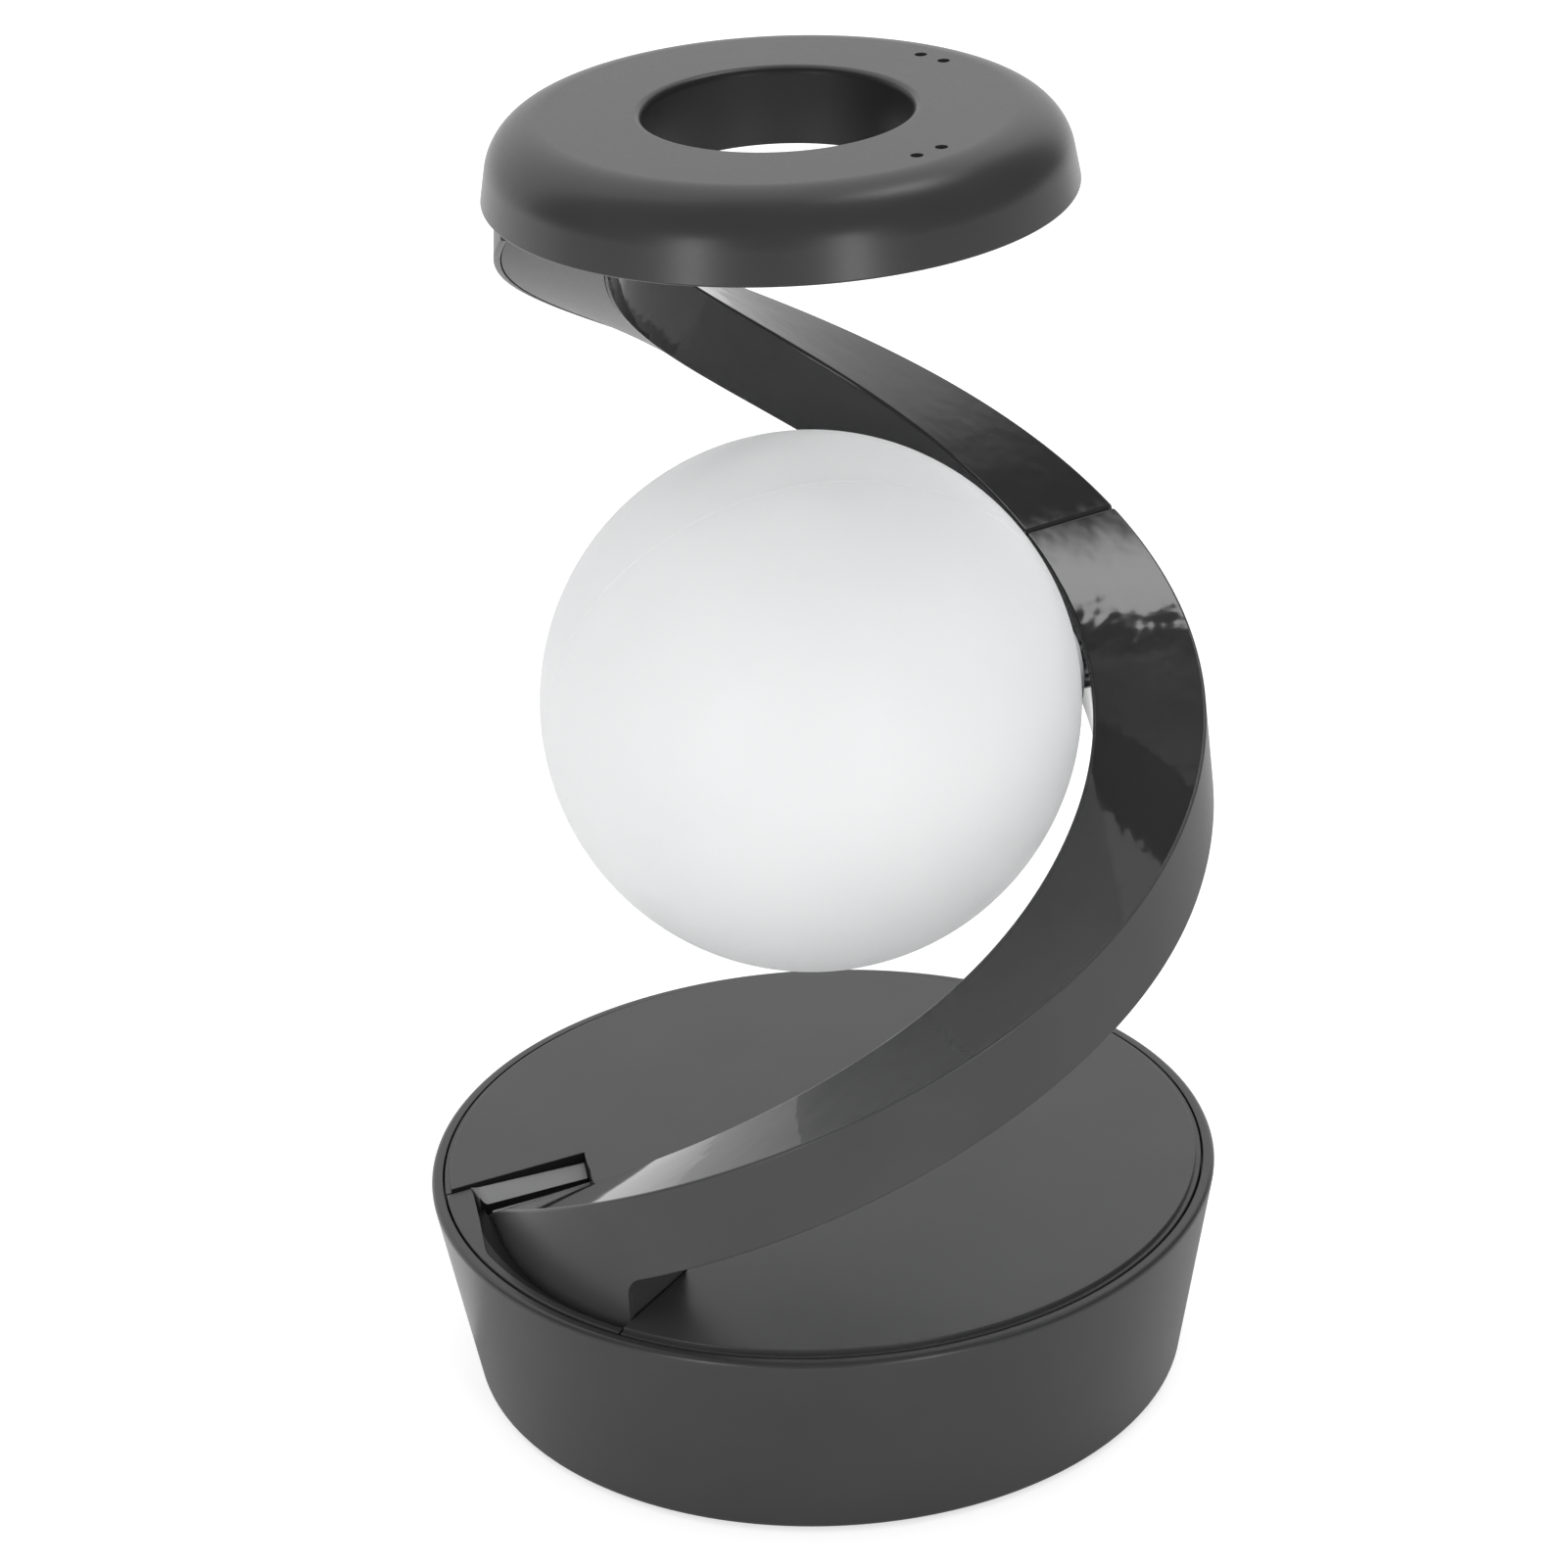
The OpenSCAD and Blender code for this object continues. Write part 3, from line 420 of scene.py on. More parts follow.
def loft(rings, closed=False):
    """Vertices and faces through rings of equal length; the ends are capped unless the rings close."""
    n = len(rings[0])
    verts = [p for ring in rings for p in ring]
    count = len(rings)
    faces = []
    for i in range(count if closed else count - 1):
        for j in range(n):
            a, b = i * n + j, i * n + (j + 1) % n
            c, d = ((i + 1) % count) * n + (j + 1) % n, ((i + 1) % count) * n + j
            faces.append((a, b, c, d))
    if not closed:
        faces.append(tuple(range(n - 1, -1, -1)))
        faces.append(tuple((count - 1) * n + j for j in range(n)))
    return verts, faces


def lathe(outline, count=LATHE_STEPS):
    """Vertices and faces of an (r, z) outline turned about Z."""
    rings = []
    for k in range(count):
        a = 2 * math.pi * k / count
        rings.append([(r * math.cos(a), r * math.sin(a), z) for r, z in outline])
    return loft(rings, closed=True)


def sweep(sections):
    """Vertices and faces through (angle, [(r, z), ...]) sections of the arm."""
    rings = []
    for t, outline in sections:
        rings.append([(*polar(r, turned(t, r)), z) for r, z in outline])
    return loft(rings)


def rounded_rings(outline, z1, edge):
    """Rings that round the upper edge, at height z1, of walls on a counter-clockwise (x, y) outline."""
    n = len(outline)
    points = [Vector(p) for p in outline]
    inward = []
    for i in range(n):
        a = (points[i] - points[i - 1]).normalized()
        b = (points[(i + 1) % n] - points[i]).normalized()
        bisector = Vector((-a.y, a.x)) + Vector((-b.y, b.x))
        bisector.normalize()
        inward.append(bisector / max(MITRE_LIMIT, bisector.dot(Vector((-a.y, a.x)))))
    rings = []
    for k in range(ARC_STEPS + 1):
        a = math.pi / 2 * k / ARC_STEPS
        shift, z = edge * (1 - math.cos(a)), z1 - edge * (1 - math.sin(a))
        rings.append([(*(p + d * shift), z) for p, d in zip(points, inward)])
    return rings


def upright(outline, z0, z1):
    """Vertices and faces of an upright solid with sharp edges on an (x, y) outline."""
    return loft([[(*p, z) for p in outline] for z in (z0, z1)])


def prism(outline, z0, z1, edge):
    """Upright solid on a counter-clockwise (x, y) outline, with its top edge rounded by edge."""
    return loft([[(*p, z0) for p in outline]] + rounded_rings(outline, z1, edge))


def rod(radius, z0, z1, count=48):
    """Upright cylinder."""
    return upright([polar(radius, 360 * k / count) for k in range(count)], z0, z1)


def stadium(width, height, z0, z1, count=24):
    """Upright bar with round ends."""
    half = (width - height) / 2
    ends = arc(half, 0, height / 2, -90, 90, count) + arc(-half, 0, height / 2, 90, 270, count)
    return upright(ends, z0, z1)


def cut(piece, cutter):
    """Takes the cutter's volume out of the piece and deletes the cutter."""
    modifier = piece.modifiers.new("cut", "BOOLEAN")
    modifier.operation = "DIFFERENCE"
    modifier.solver = "EXACT"
    modifier.object = cutter
    bpy.context.view_layer.update()
    seen = piece.evaluated_get(bpy.context.evaluated_depsgraph_get())
    mesh = bpy.data.meshes.new_from_object(seen)
    piece.modifiers.clear()
    piece.data = mesh
    bpy.data.objects.remove(cutter)
    finish_shading(piece)


def add_cutter(verts, faces, matrix=Matrix.Identity(4)):
    """Closed solid for cut(), from points in millimetres placed by a matrix in millimetres."""
    mesh = bpy.data.meshes.new("cutter")
    mesh.from_pydata([(matrix @ Vector(v)) * MM for v in verts], [], faces)
    cutter = bpy.data.objects.new("cutter", mesh)
    bpy.context.scene.collection.objects.link(cutter)
    return cutter


# Materials

# Parts of a noise's range over which roughness and colour run
NOISE_SPAN = (0.3, 0.7)
TINT_SPAN = (0.35, 0.65)
ROUGH_SPREAD = 0.08
MOTTLE_SCALE = 55.0
MOTTLE_DETAIL = 3.0
MOTTLE_SPREAD = 0.06
GRAIN_SCALE = 2600.0
GRAIN_DETAIL = 3.0
GRAIN_ROUGHNESS = 0.6
GRAIN_DEPTH = 0.000006
GLOSS_GRAIN_DEPTH = 0.0000004
GLOSS_ROUGH = 0.06
TOE_ROUGH = 0.3
WAVE_SCALE = 140.0
WAVE_ROUGHNESS = 0.55
CALM_SHARE = 0.1
OPAL_DARK = (0.94, 0.943, 0.946)
OPAL_LIGHT = (0.96, 0.962, 0.964)
OPAL_CLOUD_SCALE = 30.0
OPAL_GRAIN_SCALE = 1800.0
OPAL_GRAIN_DEPTH = 0.000002
OPAL_ROUGH_SPAN = (0.27, 0.33)
OPAL_THROUGH = 0.72


def new_material(name):
    material = bpy.data.materials.new(name)
    material.use_nodes = True
    tree = material.node_tree
    return material, tree, tree.nodes["Principled BSDF"]


def add_noise(tree, scale, detail=2.0, roughness=0.5):
    """Noise in the object's own coordinates; scale counts features in a metre."""
    place = tree.nodes.new("ShaderNodeTexCoord")
    noise = tree.nodes.new("ShaderNodeTexNoise")
    noise.inputs["Scale"].default_value = scale
    noise.inputs["Detail"].default_value = detail
    noise.inputs["Roughness"].default_value = roughness
    tree.links.new(place.outputs["Object"], noise.inputs["Vector"])
    return noise.outputs["Fac"]


def add_height(tree):
    """Height in the object's own coordinates, in metres."""
    place = tree.nodes.new("ShaderNodeTexCoord")
    axes = tree.nodes.new("ShaderNodeSeparateXYZ")
    tree.links.new(place.outputs["Object"], axes.inputs["Vector"])
    return axes.outputs["Z"]


def add_range(tree, source, span, at_low, at_high, shape="LINEAR"):
    """Value that runs from at_low to at_high while the source runs across a span."""
    node = tree.nodes.new("ShaderNodeMapRange")
    node.interpolation_type = shape
    node.inputs["From Min"].default_value = span[0]
    node.inputs["From Max"].default_value = span[1]
    node.inputs["To Min"].default_value = at_low
    node.inputs["To Max"].default_value = at_high
    tree.links.new(source, node.inputs["Value"])
    return node.outputs["Result"]


def add_math(tree, operation, first, second):
    node = tree.nodes.new("ShaderNodeMath")
    node.operation = operation
    tree.links.new(first, node.inputs[0])
    tree.links.new(second, node.inputs[1])
    return node.outputs["Value"]


def add_tint(tree, source, dark, light):
    """Colour that runs from dark to light with a noise."""
    ramp = tree.nodes.new("ShaderNodeValToRGB")
    for element, position, colour in zip(ramp.color_ramp.elements, TINT_SPAN, (dark, light)):
        element.position = position
        element.color = (*colour, 1)
    tree.links.new(source, ramp.inputs["Fac"])
    return ramp.outputs["Color"]


def add_bump(tree, source, depth, before=None):
    bump = tree.nodes.new("ShaderNodeBump")
    bump.inputs["Strength"].default_value = 1.0
    bump.inputs["Distance"].default_value = depth
    tree.links.new(source, bump.inputs["Height"])
    if before is not None:
        tree.links.new(before, bump.inputs["Normal"])
    return bump.outputs["Normal"]


def add_mottle(tree, shader, colour, spread):
    """Base colour with slight mottling."""
    dark = [c * (1 - spread) for c in colour]
    light = [c * (1 + spread) for c in colour]
    tint = add_tint(tree, add_noise(tree, MOTTLE_SCALE, MOTTLE_DETAIL), dark, light)
    tree.links.new(tint, shader.inputs["Base Color"])


def add_grain(tree, scale):
    return add_noise(tree, scale, GRAIN_DETAIL, GRAIN_ROUGHNESS)


def moulded(name, colour, rough, spread=MOTTLE_SPREAD, grain=GRAIN_SCALE, grain_depth=GRAIN_DEPTH,
            metal=0.0, specular=0.5):
    """Moulded or turned surface: slight mottling, uneven roughness and fine grain."""
    material, tree, shader = new_material(name)
    add_mottle(tree, shader, colour, spread)
    fine = add_grain(tree, grain)
    rough_span = (rough * (1 - ROUGH_SPREAD), rough * (1 + ROUGH_SPREAD))
    tree.links.new(add_range(tree, fine, NOISE_SPAN, *rough_span), shader.inputs["Roughness"])
    tree.links.new(add_bump(tree, fine, grain_depth), shader.inputs["Normal"])
    shader.inputs["Metallic"].default_value = metal
    shader.inputs["Specular IOR Level"].default_value = specular
    return material


def gloss(name, colour, wave_depth):
    """Glossy moulding with slow waves in its face, which turns calm and satin towards the toe."""
    material, tree, shader = new_material(name)
    add_mottle(tree, shader, colour, MOTTLE_SPREAD)
    height = add_height(tree)
    satin_span = [z * MM for z in SATIN_SPAN]
    calm_span = [z * MM for z in CALM_SPAN]
    rough = add_range(tree, height, satin_span, TOE_ROUGH, GLOSS_ROUGH, "SMOOTHSTEP")
    tree.links.new(rough, shader.inputs["Roughness"])
    grain = add_bump(tree, add_grain(tree, GRAIN_SCALE), GLOSS_GRAIN_DEPTH)
    waves = add_bump(tree, add_noise(tree, WAVE_SCALE, roughness=WAVE_ROUGHNESS), wave_depth, grain)
    strength = add_range(tree, height, calm_span, CALM_SHARE, 1.0, "SMOOTHSTEP")
    tree.links.new(strength, waves.node.inputs["Strength"])
    tree.links.new(waves, shader.inputs["Normal"])
    return material


def opal(name):
    """White diffuser: even, softly glossy, with a wall that lets light through."""
    material, tree, shader = new_material(name)
    fine = add_noise(tree, OPAL_GRAIN_SCALE)
    tint = add_tint(tree, add_noise(tree, OPAL_CLOUD_SCALE), OPAL_DARK, OPAL_LIGHT)
    tree.links.new(tint, shader.inputs["Base Color"])
    tree.links.new(add_range(tree, fine, NOISE_SPAN, *OPAL_ROUGH_SPAN), shader.inputs["Roughness"])
    tree.links.new(add_bump(tree, fine, OPAL_GRAIN_DEPTH), shader.inputs["Normal"])
    through = tree.nodes.new("ShaderNodeBsdfTranslucent")
    tree.links.new(tint, through.inputs["Color"])
    both = tree.nodes.new("ShaderNodeMixShader")
    both.inputs["Fac"].default_value = OPAL_THROUGH
    tree.links.new(shader.outputs["BSDF"], both.inputs[1])
    tree.links.new(through.outputs["BSDF"], both.inputs[2])
    tree.links.new(both.outputs["Shader"], tree.nodes["Material Output"].inputs["Surface"])
    return material


shell_grey = moulded("shell_grey", (0.032, 0.032, 0.033), 0.32)
# Darker grey that paints the shade inside the ring's hole
hole_painted_shade = moulded("hole_painted_shade", (0.012, 0.012, 0.0125), 0.45)
plate_grey = moulded("plate_grey", (0.036, 0.036, 0.037), 0.33, grain=2200.0, grain_depth=0.000008)
arm_satin = moulded("arm_satin", (0.046, 0.046, 0.047), 0.38)
# Light grey that paints the highlight on the ramp and on the toe cap's top
ramp_painted_highlight = moulded("ramp_painted_highlight", (0.23, 0.23, 0.231), 0.4)
# Near-black that paints the shade in the pocket: its floor, the moat's floor, its walls and the ramp's
# front wall
painted_shade_black = moulded("painted_shade_black", (0.014, 0.014, 0.014), 0.55, specular=0.1)
# Dark grey that paints the shade on the moat's shelf
shelf_painted_shade = moulded("shelf_painted_shade", (0.018, 0.018, 0.018), 0.45, specular=0.25)
arm_gloss = gloss("arm_gloss", (0.024, 0.024, 0.025), 0.00011)
opal_white = opal("opal_white")
rubber = moulded("rubber", (0.018, 0.018, 0.018), 0.75, spread=0.15, grain=1500.0, grain_depth=0.00002)
steel = moulded(
    "steel", (0.5, 0.51, 0.52), 0.28, spread=0.05, grain=1400.0, grain_depth=0.000004, metal=1.0)
aluminium = moulded(
    "aluminium", (0.66, 0.67, 0.68), 0.35, spread=0.04, grain=1800.0, grain_depth=0.000005, metal=1.0)
board = moulded("board", (0.02, 0.11, 0.045), 0.4, spread=0.2, grain=900.0, grain_depth=0.00001)
board_case = moulded("board_case", (0.018, 0.018, 0.02), 0.5, spread=0.1)
copper = moulded("copper", (0.62, 0.3, 0.16), 0.3, spread=0.08, metal=1.0)
nylon = moulded("nylon", (0.72, 0.72, 0.7), 0.45, spread=0.03)
phosphor = moulded("phosphor", (0.8, 0.6, 0.1), 0.3, spread=0.05)

SLOT_MATERIALS = {
    "dark_shell": shell_grey,
    "dark_plate": plate_grey,
    "dark_arm": arm_satin,
    "opal_white": opal_white,
    "black_rubber": rubber,
    "plain_steel": steel,
    "plain_aluminium": aluminium,
    "board_green": board,
    "board_black": board_case,
    "copper_foil": copper,
    "white_nylon": nylon,
    "chip_yellow": phosphor,
}
for subpart in frame["record"]["subparts"]:
    mesh = nodes[subpart["node"]].data
    mesh.materials.clear()
    mesh.materials.append(SLOT_MATERIALS[subpart["material_slot"]])


# Arm mouldings and the strips that close their undersides


def flared_r(t):
    """Outer radius of the arm, which flares at the toe."""
    return arm_r(t) + TOE_FLARE * max(0.0, 1 - (t - FOOT_ANGLE) / TOE_FLARE_DEG) ** 2


def arm_section(t, pull=0.0):
    """Channel of an arm moulding with rounded edges and rebates for the strip; pull draws its faces in."""
    out, inside = flared_r(t) - pull, arm_in_r(t) + pull
    top, low = arm_top(t) - pull, arm_low(t)
    low_in = low if t <= NOTCH_ANGLE else arm_z(t) - ARM_H
    roof = arm_top(t) - ARM_WALL
    deep = roof - REBATE_ROOM
    at_leg = NOTCH_ANGLE - STRIP_END_DEG - LEG_SPARE_DEG < t <= NOTCH_ANGLE
    rebate = STRIP_INSET + STRIP_T + STRIP_FIT
    rebate_out = deep if at_leg else min(low + rebate, deep)
    rebate_in = deep if at_leg else min(low_in + rebate, deep)
    return rounded(leaned(t, [
        (out, low, OUT_LOW_EDGE), (out, top, OUT_TOP_EDGE),
        (inside, top, IN_TOP_EDGE), (inside, low_in, IN_LOW_EDGE),
        (inside + RIM_IN_W, low_in, RIM_IN_EDGE), (inside + RIM_IN_W, rebate_in, 0),
        (inside + ARM_WALL, rebate_in, 0), (inside + ARM_WALL, roof, 0),
        (out - ARM_WALL, roof, 0), (out - ARM_WALL, rebate_out, 0),
        (out - RIM_OUT_W, rebate_out, 0), (out - RIM_OUT_W, low, RIM_OUT_EDGE),
    ]))


# Edges of a section that lie on the outer face, at its start, and on the rim below it, at its end
ARM_OUTER_EDGES = 2 * (ARC_STEPS + 1) - 1
ARM_RIM_EDGES = ARC_STEPS + 2


def add_arm(name, sections):
    """Arm moulding: satin outside and below, glossy on its top and inner faces."""
    per_ring = len(sections[0][1])
    satin_edges = [j < ARM_OUTER_EDGES or j >= per_ring - ARM_RIM_EDGES for j in range(per_ring)]
    kinds = [0 if satin else 1 for satin in satin_edges] * (len(sections) - 1) + [0, 0]
    return add_piece(name, *sweep(sections), "lamp", "dark_arm", [arm_satin, arm_gloss], kinds)


def strip_section(t, low, top):
    out, inside = arm_r(t) - RIM_OUT_W - STRIP_FIT, arm_in_r(t) + RIM_IN_W + STRIP_FIT
    return rounded(leaned(t, [
        (out, low, STRIP_EDGE), (out, top, 0), (inside, top, 0), (inside, low, STRIP_EDGE),
    ]))


def strip_low(t):
    return arm_z(t) - ARM_H + STRIP_INSET


def strip_top(t):
    return strip_low(t) + STRIP_T


notch_angles = [NOTCH_ANGLE + HAIR + NOTCH_DEG * i / NOTCH_STEPS for i in range(NOTCH_STEPS + 1)]
half_seam_deg = math.degrees(SEAM / arm_r(SPLICE_ANGLE)) / 2
lower_end = SPLICE_ANGLE - half_seam_deg
upper_start = SPLICE_ANGLE + half_seam_deg
seam_round_deg = math.degrees(SEAM_ROUND / arm_r(SPLICE_ANGLE))
ribbon_angles = steps(notch_angles[-1], lower_end - seam_round_deg)[1:]

# Rounded ends at the joint of the two mouldings: how far from the end, and how far drawn in
seam_arc = []
for i in range(1, ARC_STEPS + 1):
    a = math.pi / 2 * i / ARC_STEPS
    seam_arc.append((seam_round_deg * (1 - math.sin(a)), SEAM_ROUND * (1 - math.cos(a))))

lower_angles = steps(FOOT_ANGLE, NOTCH_ANGLE) + notch_angles + ribbon_angles
lower_sections = [(t, arm_section(t)) for t in lower_angles]
for along, pull in seam_arc:
    lower_sections.append((lower_end - along, arm_section(lower_end - along, pull)))
arm_lower = add_arm("arm_lower", lower_sections)
even_normals(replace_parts(arm_lower, "arm_lower_shell"))

upper_sections = []
for along, pull in reversed(seam_arc):
    upper_sections.append((upper_start + along, arm_section(upper_start + along, pull)))
upper_angles = steps(upper_start + seam_round_deg, HEAD_ANGLE) + steps(HEAD_ANGLE, TIP_ANGLE)[1:]
upper_sections += [(t, arm_section(t)) for t in upper_angles]
arm_upper = add_arm("arm_upper", upper_sections)
even_normals(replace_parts(arm_upper, "arm_upper_shell"))

leg_end = NOTCH_ANGLE - LEG_END_DEG
leg_angles = steps(NOTCH_ANGLE - STRIP_END_DEG, leg_end)
lower_strip_sections = [(t, strip_section(t, FLOOR_Z, strip_top(t))) for t in leg_angles]
for t in [leg_end + HAIR] + steps(NOTCH_ANGLE, lower_end):
    lower_strip_sections.append((t, strip_section(t, strip_low(t), strip_top(t))))
lower_strip = add_piece("arm_lower_cover", *sweep(lower_strip_sections), "lamp", "dark_arm", [arm_satin])
even_normals(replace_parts(lower_strip, "arm_lower_strip"))

turn_up = TIP_ANGLE - STRIP_END_DEG
upper_strip_sections = []
for t in steps(upper_start, turn_up):
    upper_strip_sections.append((t, strip_section(t, strip_low(t), strip_top(t))))
for t in (turn_up + HAIR, TIP_ANGLE):
    upper_strip_sections.append((t, strip_section(t, strip_low(t), HEAD_Z - ARM_WALL - FIT)))
upper_strip = add_piece("arm_upper_cover", *sweep(upper_strip_sections), "lamp", "dark_arm", [arm_satin])
even_normals(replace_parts(upper_strip, "arm_upper_strip"))

toe_back = FOOT_ANGLE - math.degrees(TOE_CAP_GAP / ARM_R_FOOT)
toe_cap_deg = math.degrees(TOE_CAP_T / ARM_R_FOOT)
toe_top = arm_z(FOOT_ANGLE) + TOE_CAP_RISE
toe_cap_outline = rounded([
    (ARM_R_FOOT, FLOOR_Z, 0), (ARM_R_FOOT, toe_top, TOE_CAP_EDGE),
    (arm_in_r(FOOT_ANGLE), toe_top, TOE_CAP_EDGE), (arm_in_r(FOOT_ANGLE), FLOOR_Z, 0),
])
toe_cap_sections = [(t, toe_cap_outline) for t in (toe_back - toe_cap_deg, toe_back)]
# The toe cap is painted light grey as a painted highlight on the toe's end edge
add_piece("toe_cap", *sweep(toe_cap_sections), "lamp", "dark_arm", [ramp_painted_highlight])


# Base: shell, top plate with its stepped edge, and the foot with its lip and its moat


def base_out(z):
    return BASE_FOOT_R + (BASE_R - BASE_FOOT_R) * z / BASE_H


rim_in = BASE_R - RIM_W
skirt_r = base_out(PAD_STAND)
ledge_low = LEDGE_Z - LEDGE_T
base_outline = rounded([
    (skirt_r - BASE_WALL, PAD_STAND, SKIRT_IN_ROUND), (skirt_r, PAD_STAND, SKIRT_ROUND),
    (BASE_R, BASE_H, RIM_ROUND), (rim_in, BASE_H, RIM_IN_ROUND),
    (rim_in, LEDGE_Z, 0), (rim_in - LEDGE_W, LEDGE_Z, 0),
    (rim_in - LEDGE_W, ledge_low, 0), (base_out(ledge_low) - BASE_WALL, ledge_low, 0),
])
base = add_piece("base_drum", *lathe(base_outline), "lamp", "dark_shell", [shell_grey])
to_back = Matrix.Translation((0, base_out(USB_Z), USB_Z)) @ Matrix.Rotation(math.radians(90), 4, "X")
cut(base, add_cutter(*stadium(USB_W + 2 * FIT, USB_H + 2 * FIT, -USB_CUT, USB_CUT), to_back))
notch_turn = NOTCH_ANGLE - POCKET_SPARE_DEG


def foot_outline(margin, outer_r):
    """Outline of the foot pocket, drawn in by a margin, out to a radius."""
    turn = math.degrees(margin / ARM_R_FOOT)
    outer_angles = steps(POCKET_OUT_ANGLE + turn, notch_turn, POCKET_STEP)
    inner_angles = steps(notch_turn, POCKET_IN_ANGLE + turn, POCKET_STEP)
    outline = [polar(outer_r, t) for t in outer_angles]
    return outline + [polar(pocket_in_r(t) + margin, t) for t in inner_angles]


opening = foot_outline(-FIT, FOOT_R + FIT)
cut(base, add_cutter(*upright(opening, ledge_low - CUT_SPARE, LEDGE_Z + CUT_SPARE)))
even_normals(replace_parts(base, "base_shell"))

notch_edge = NOTCH_ANGLE + math.degrees(FIT / ARM_R_FOOT)
deck_r = PLATE_R - STEP_W
deck_inner_angles = steps(POCKET_IN_ANGLE, notch_edge, POCKET_STEP)
deck_inner = [polar(pocket_in_r(t), t) for t in deck_inner_angles]


def deck_outer(r):
    """Points along the top plate's edge at a radius, from the arm's step to the pocket's back wall."""
    corner = on_radius(back_start, back_along, r)
    end = math.degrees(math.atan2(corner.y, corner.x)) % 360
    return arc(0, 0, r, notch_edge, end, DECK_STEPS)


def deck_ring(r, z, inner_z):
    return [(*p, z) for p in deck_outer(r)] + [(*p, inner_z) for p in deck_inner]


deck_rings = [
    deck_ring(PLATE_R, LEDGE_Z, LEDGE_Z),
    deck_ring(PLATE_R, STEP_Z - STEP_EDGE, STEP_Z - 2 * STEP_EDGE),
    deck_ring(PLATE_R - STEP_EDGE, STEP_Z, STEP_Z - STEP_EDGE),
    deck_ring(deck_r, STEP_Z, STEP_Z),
]
deck_rings += rounded_rings(deck_outer(deck_r) + deck_inner, PLATE_Z, PLATE_EDGE)
# Pocket walls below that depth are painted near-black as painted shade
pocket_shade_walls = [0] * DECK_STEPS + [1] + [1 if t < TOE_IN_ANGLE else 0 for t in deck_inner_angles]
deck_kinds = []
for deck_level in deck_rings[:-1]:
    dark = deck_level[0][2] < PLATE_Z - POCKET_SHADE_DEPTH
    deck_kinds += pocket_shade_walls if dark else [0] * len(pocket_shade_walls)
deck_kinds += [0, 0]
plate = add_piece("deck", *loft(deck_rings), "lamp", "dark_plate", [plate_grey, painted_shade_black], deck_kinds)
even_normals(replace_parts(plate, "top_plate"))


def moat_r(t):
    """Outer edge of the moat, which draws in beside the toe."""
    x = max(0.0, min(1.0, (CRESCENT_ANGLE - t) / (CRESCENT_ANGLE - MOAT_END_ANGLE)))
    return PLATE_R - MOAT_LIP - CRESCENT_W * x * (2 - x)


lip_outer_angles = steps(POCKET_OUT_ANGLE + LIP_END_DEG, notch_turn, POCKET_STEP)
lip_inner_angles = steps(notch_turn, MOAT_END_ANGLE, POCKET_STEP)
lip_outline = [polar(PLATE_R, t) for t in lip_outer_angles]
lip_outline += [polar(moat_r(t), t) for t in lip_inner_angles]
lip_outline.append(back_point(MOAT_LIP + CRESCENT_W, 2 * FIT))
lip_solid = prism(lip_outline, LEDGE_Z, PLATE_Z - LIP_DROP, LIP_EDGE)
even_normals(add_piece("foot_border", *lip_solid, "lamp", "dark_shell", [shell_grey]))

# The pocket's floor is painted near-black as painted shade
foot_solid = prism(foot_outline(FIT, FOOT_R), FLOOR_Z - FOOT_T, FLOOR_Z, FOOT_EDGE)
foot_floor = add_piece("foot_floor", *foot_solid, "lamp", "dark_shell", [painted_shade_black])
even_normals(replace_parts(foot_floor, "arm_foot"))

# The moat's floor is painted near-black as painted shade
moat_angles = steps(MOAT_END_ANGLE + MOAT_SPARE_DEG, notch_turn, POCKET_STEP)
moat_outer = [polar(FOOT_R, t) for t in moat_angles]
beside_arm = [polar(flared_r(max(t, FOOT_ANGLE)) + MOAT_GAP, t) for t in reversed(moat_angles)]
moat_solid = prism(moat_outer + beside_arm, FLOOR_Z, MOAT_Z, MOAT_EDGE)
add_piece("moat_floor", *moat_solid, "lamp", "dark_shell", [painted_shade_black])

# The moat's shelf is painted dark grey as painted shade
shelf_edge = [polar(SHELF_R, t) for t in reversed(moat_angles)]
shelf_solid = prism(moat_outer + shelf_edge, MOAT_Z, SHELF_Z, SHELF_EDGE)
even_normals(add_piece("moat_shelf", *shelf_solid, "lamp", "dark_shell", [shelf_painted_shade]))


# Ramp along the pocket's back wall, which sinks towards its inner end

# Rounds of the search for the ramp's end, which closes in on it quickly
MEET_ROUNDS = 4


def ramp_end(ahead):
    """How far along the back wall the ramp meets the pocket's inner edge, so far in front of the wall."""
    start = back_point(0, ahead)
    end = on_radius(start, back_along, pocket_in_r(POCKET_IN_ANGLE) + FIT)
    for _ in range(MEET_ROUNDS):
        t = math.degrees(math.atan2(end.y, end.x)) % 360 - 360
        end = on_radius(start, back_along, pocket_in_r(t) + FIT)
    return (end - start).length


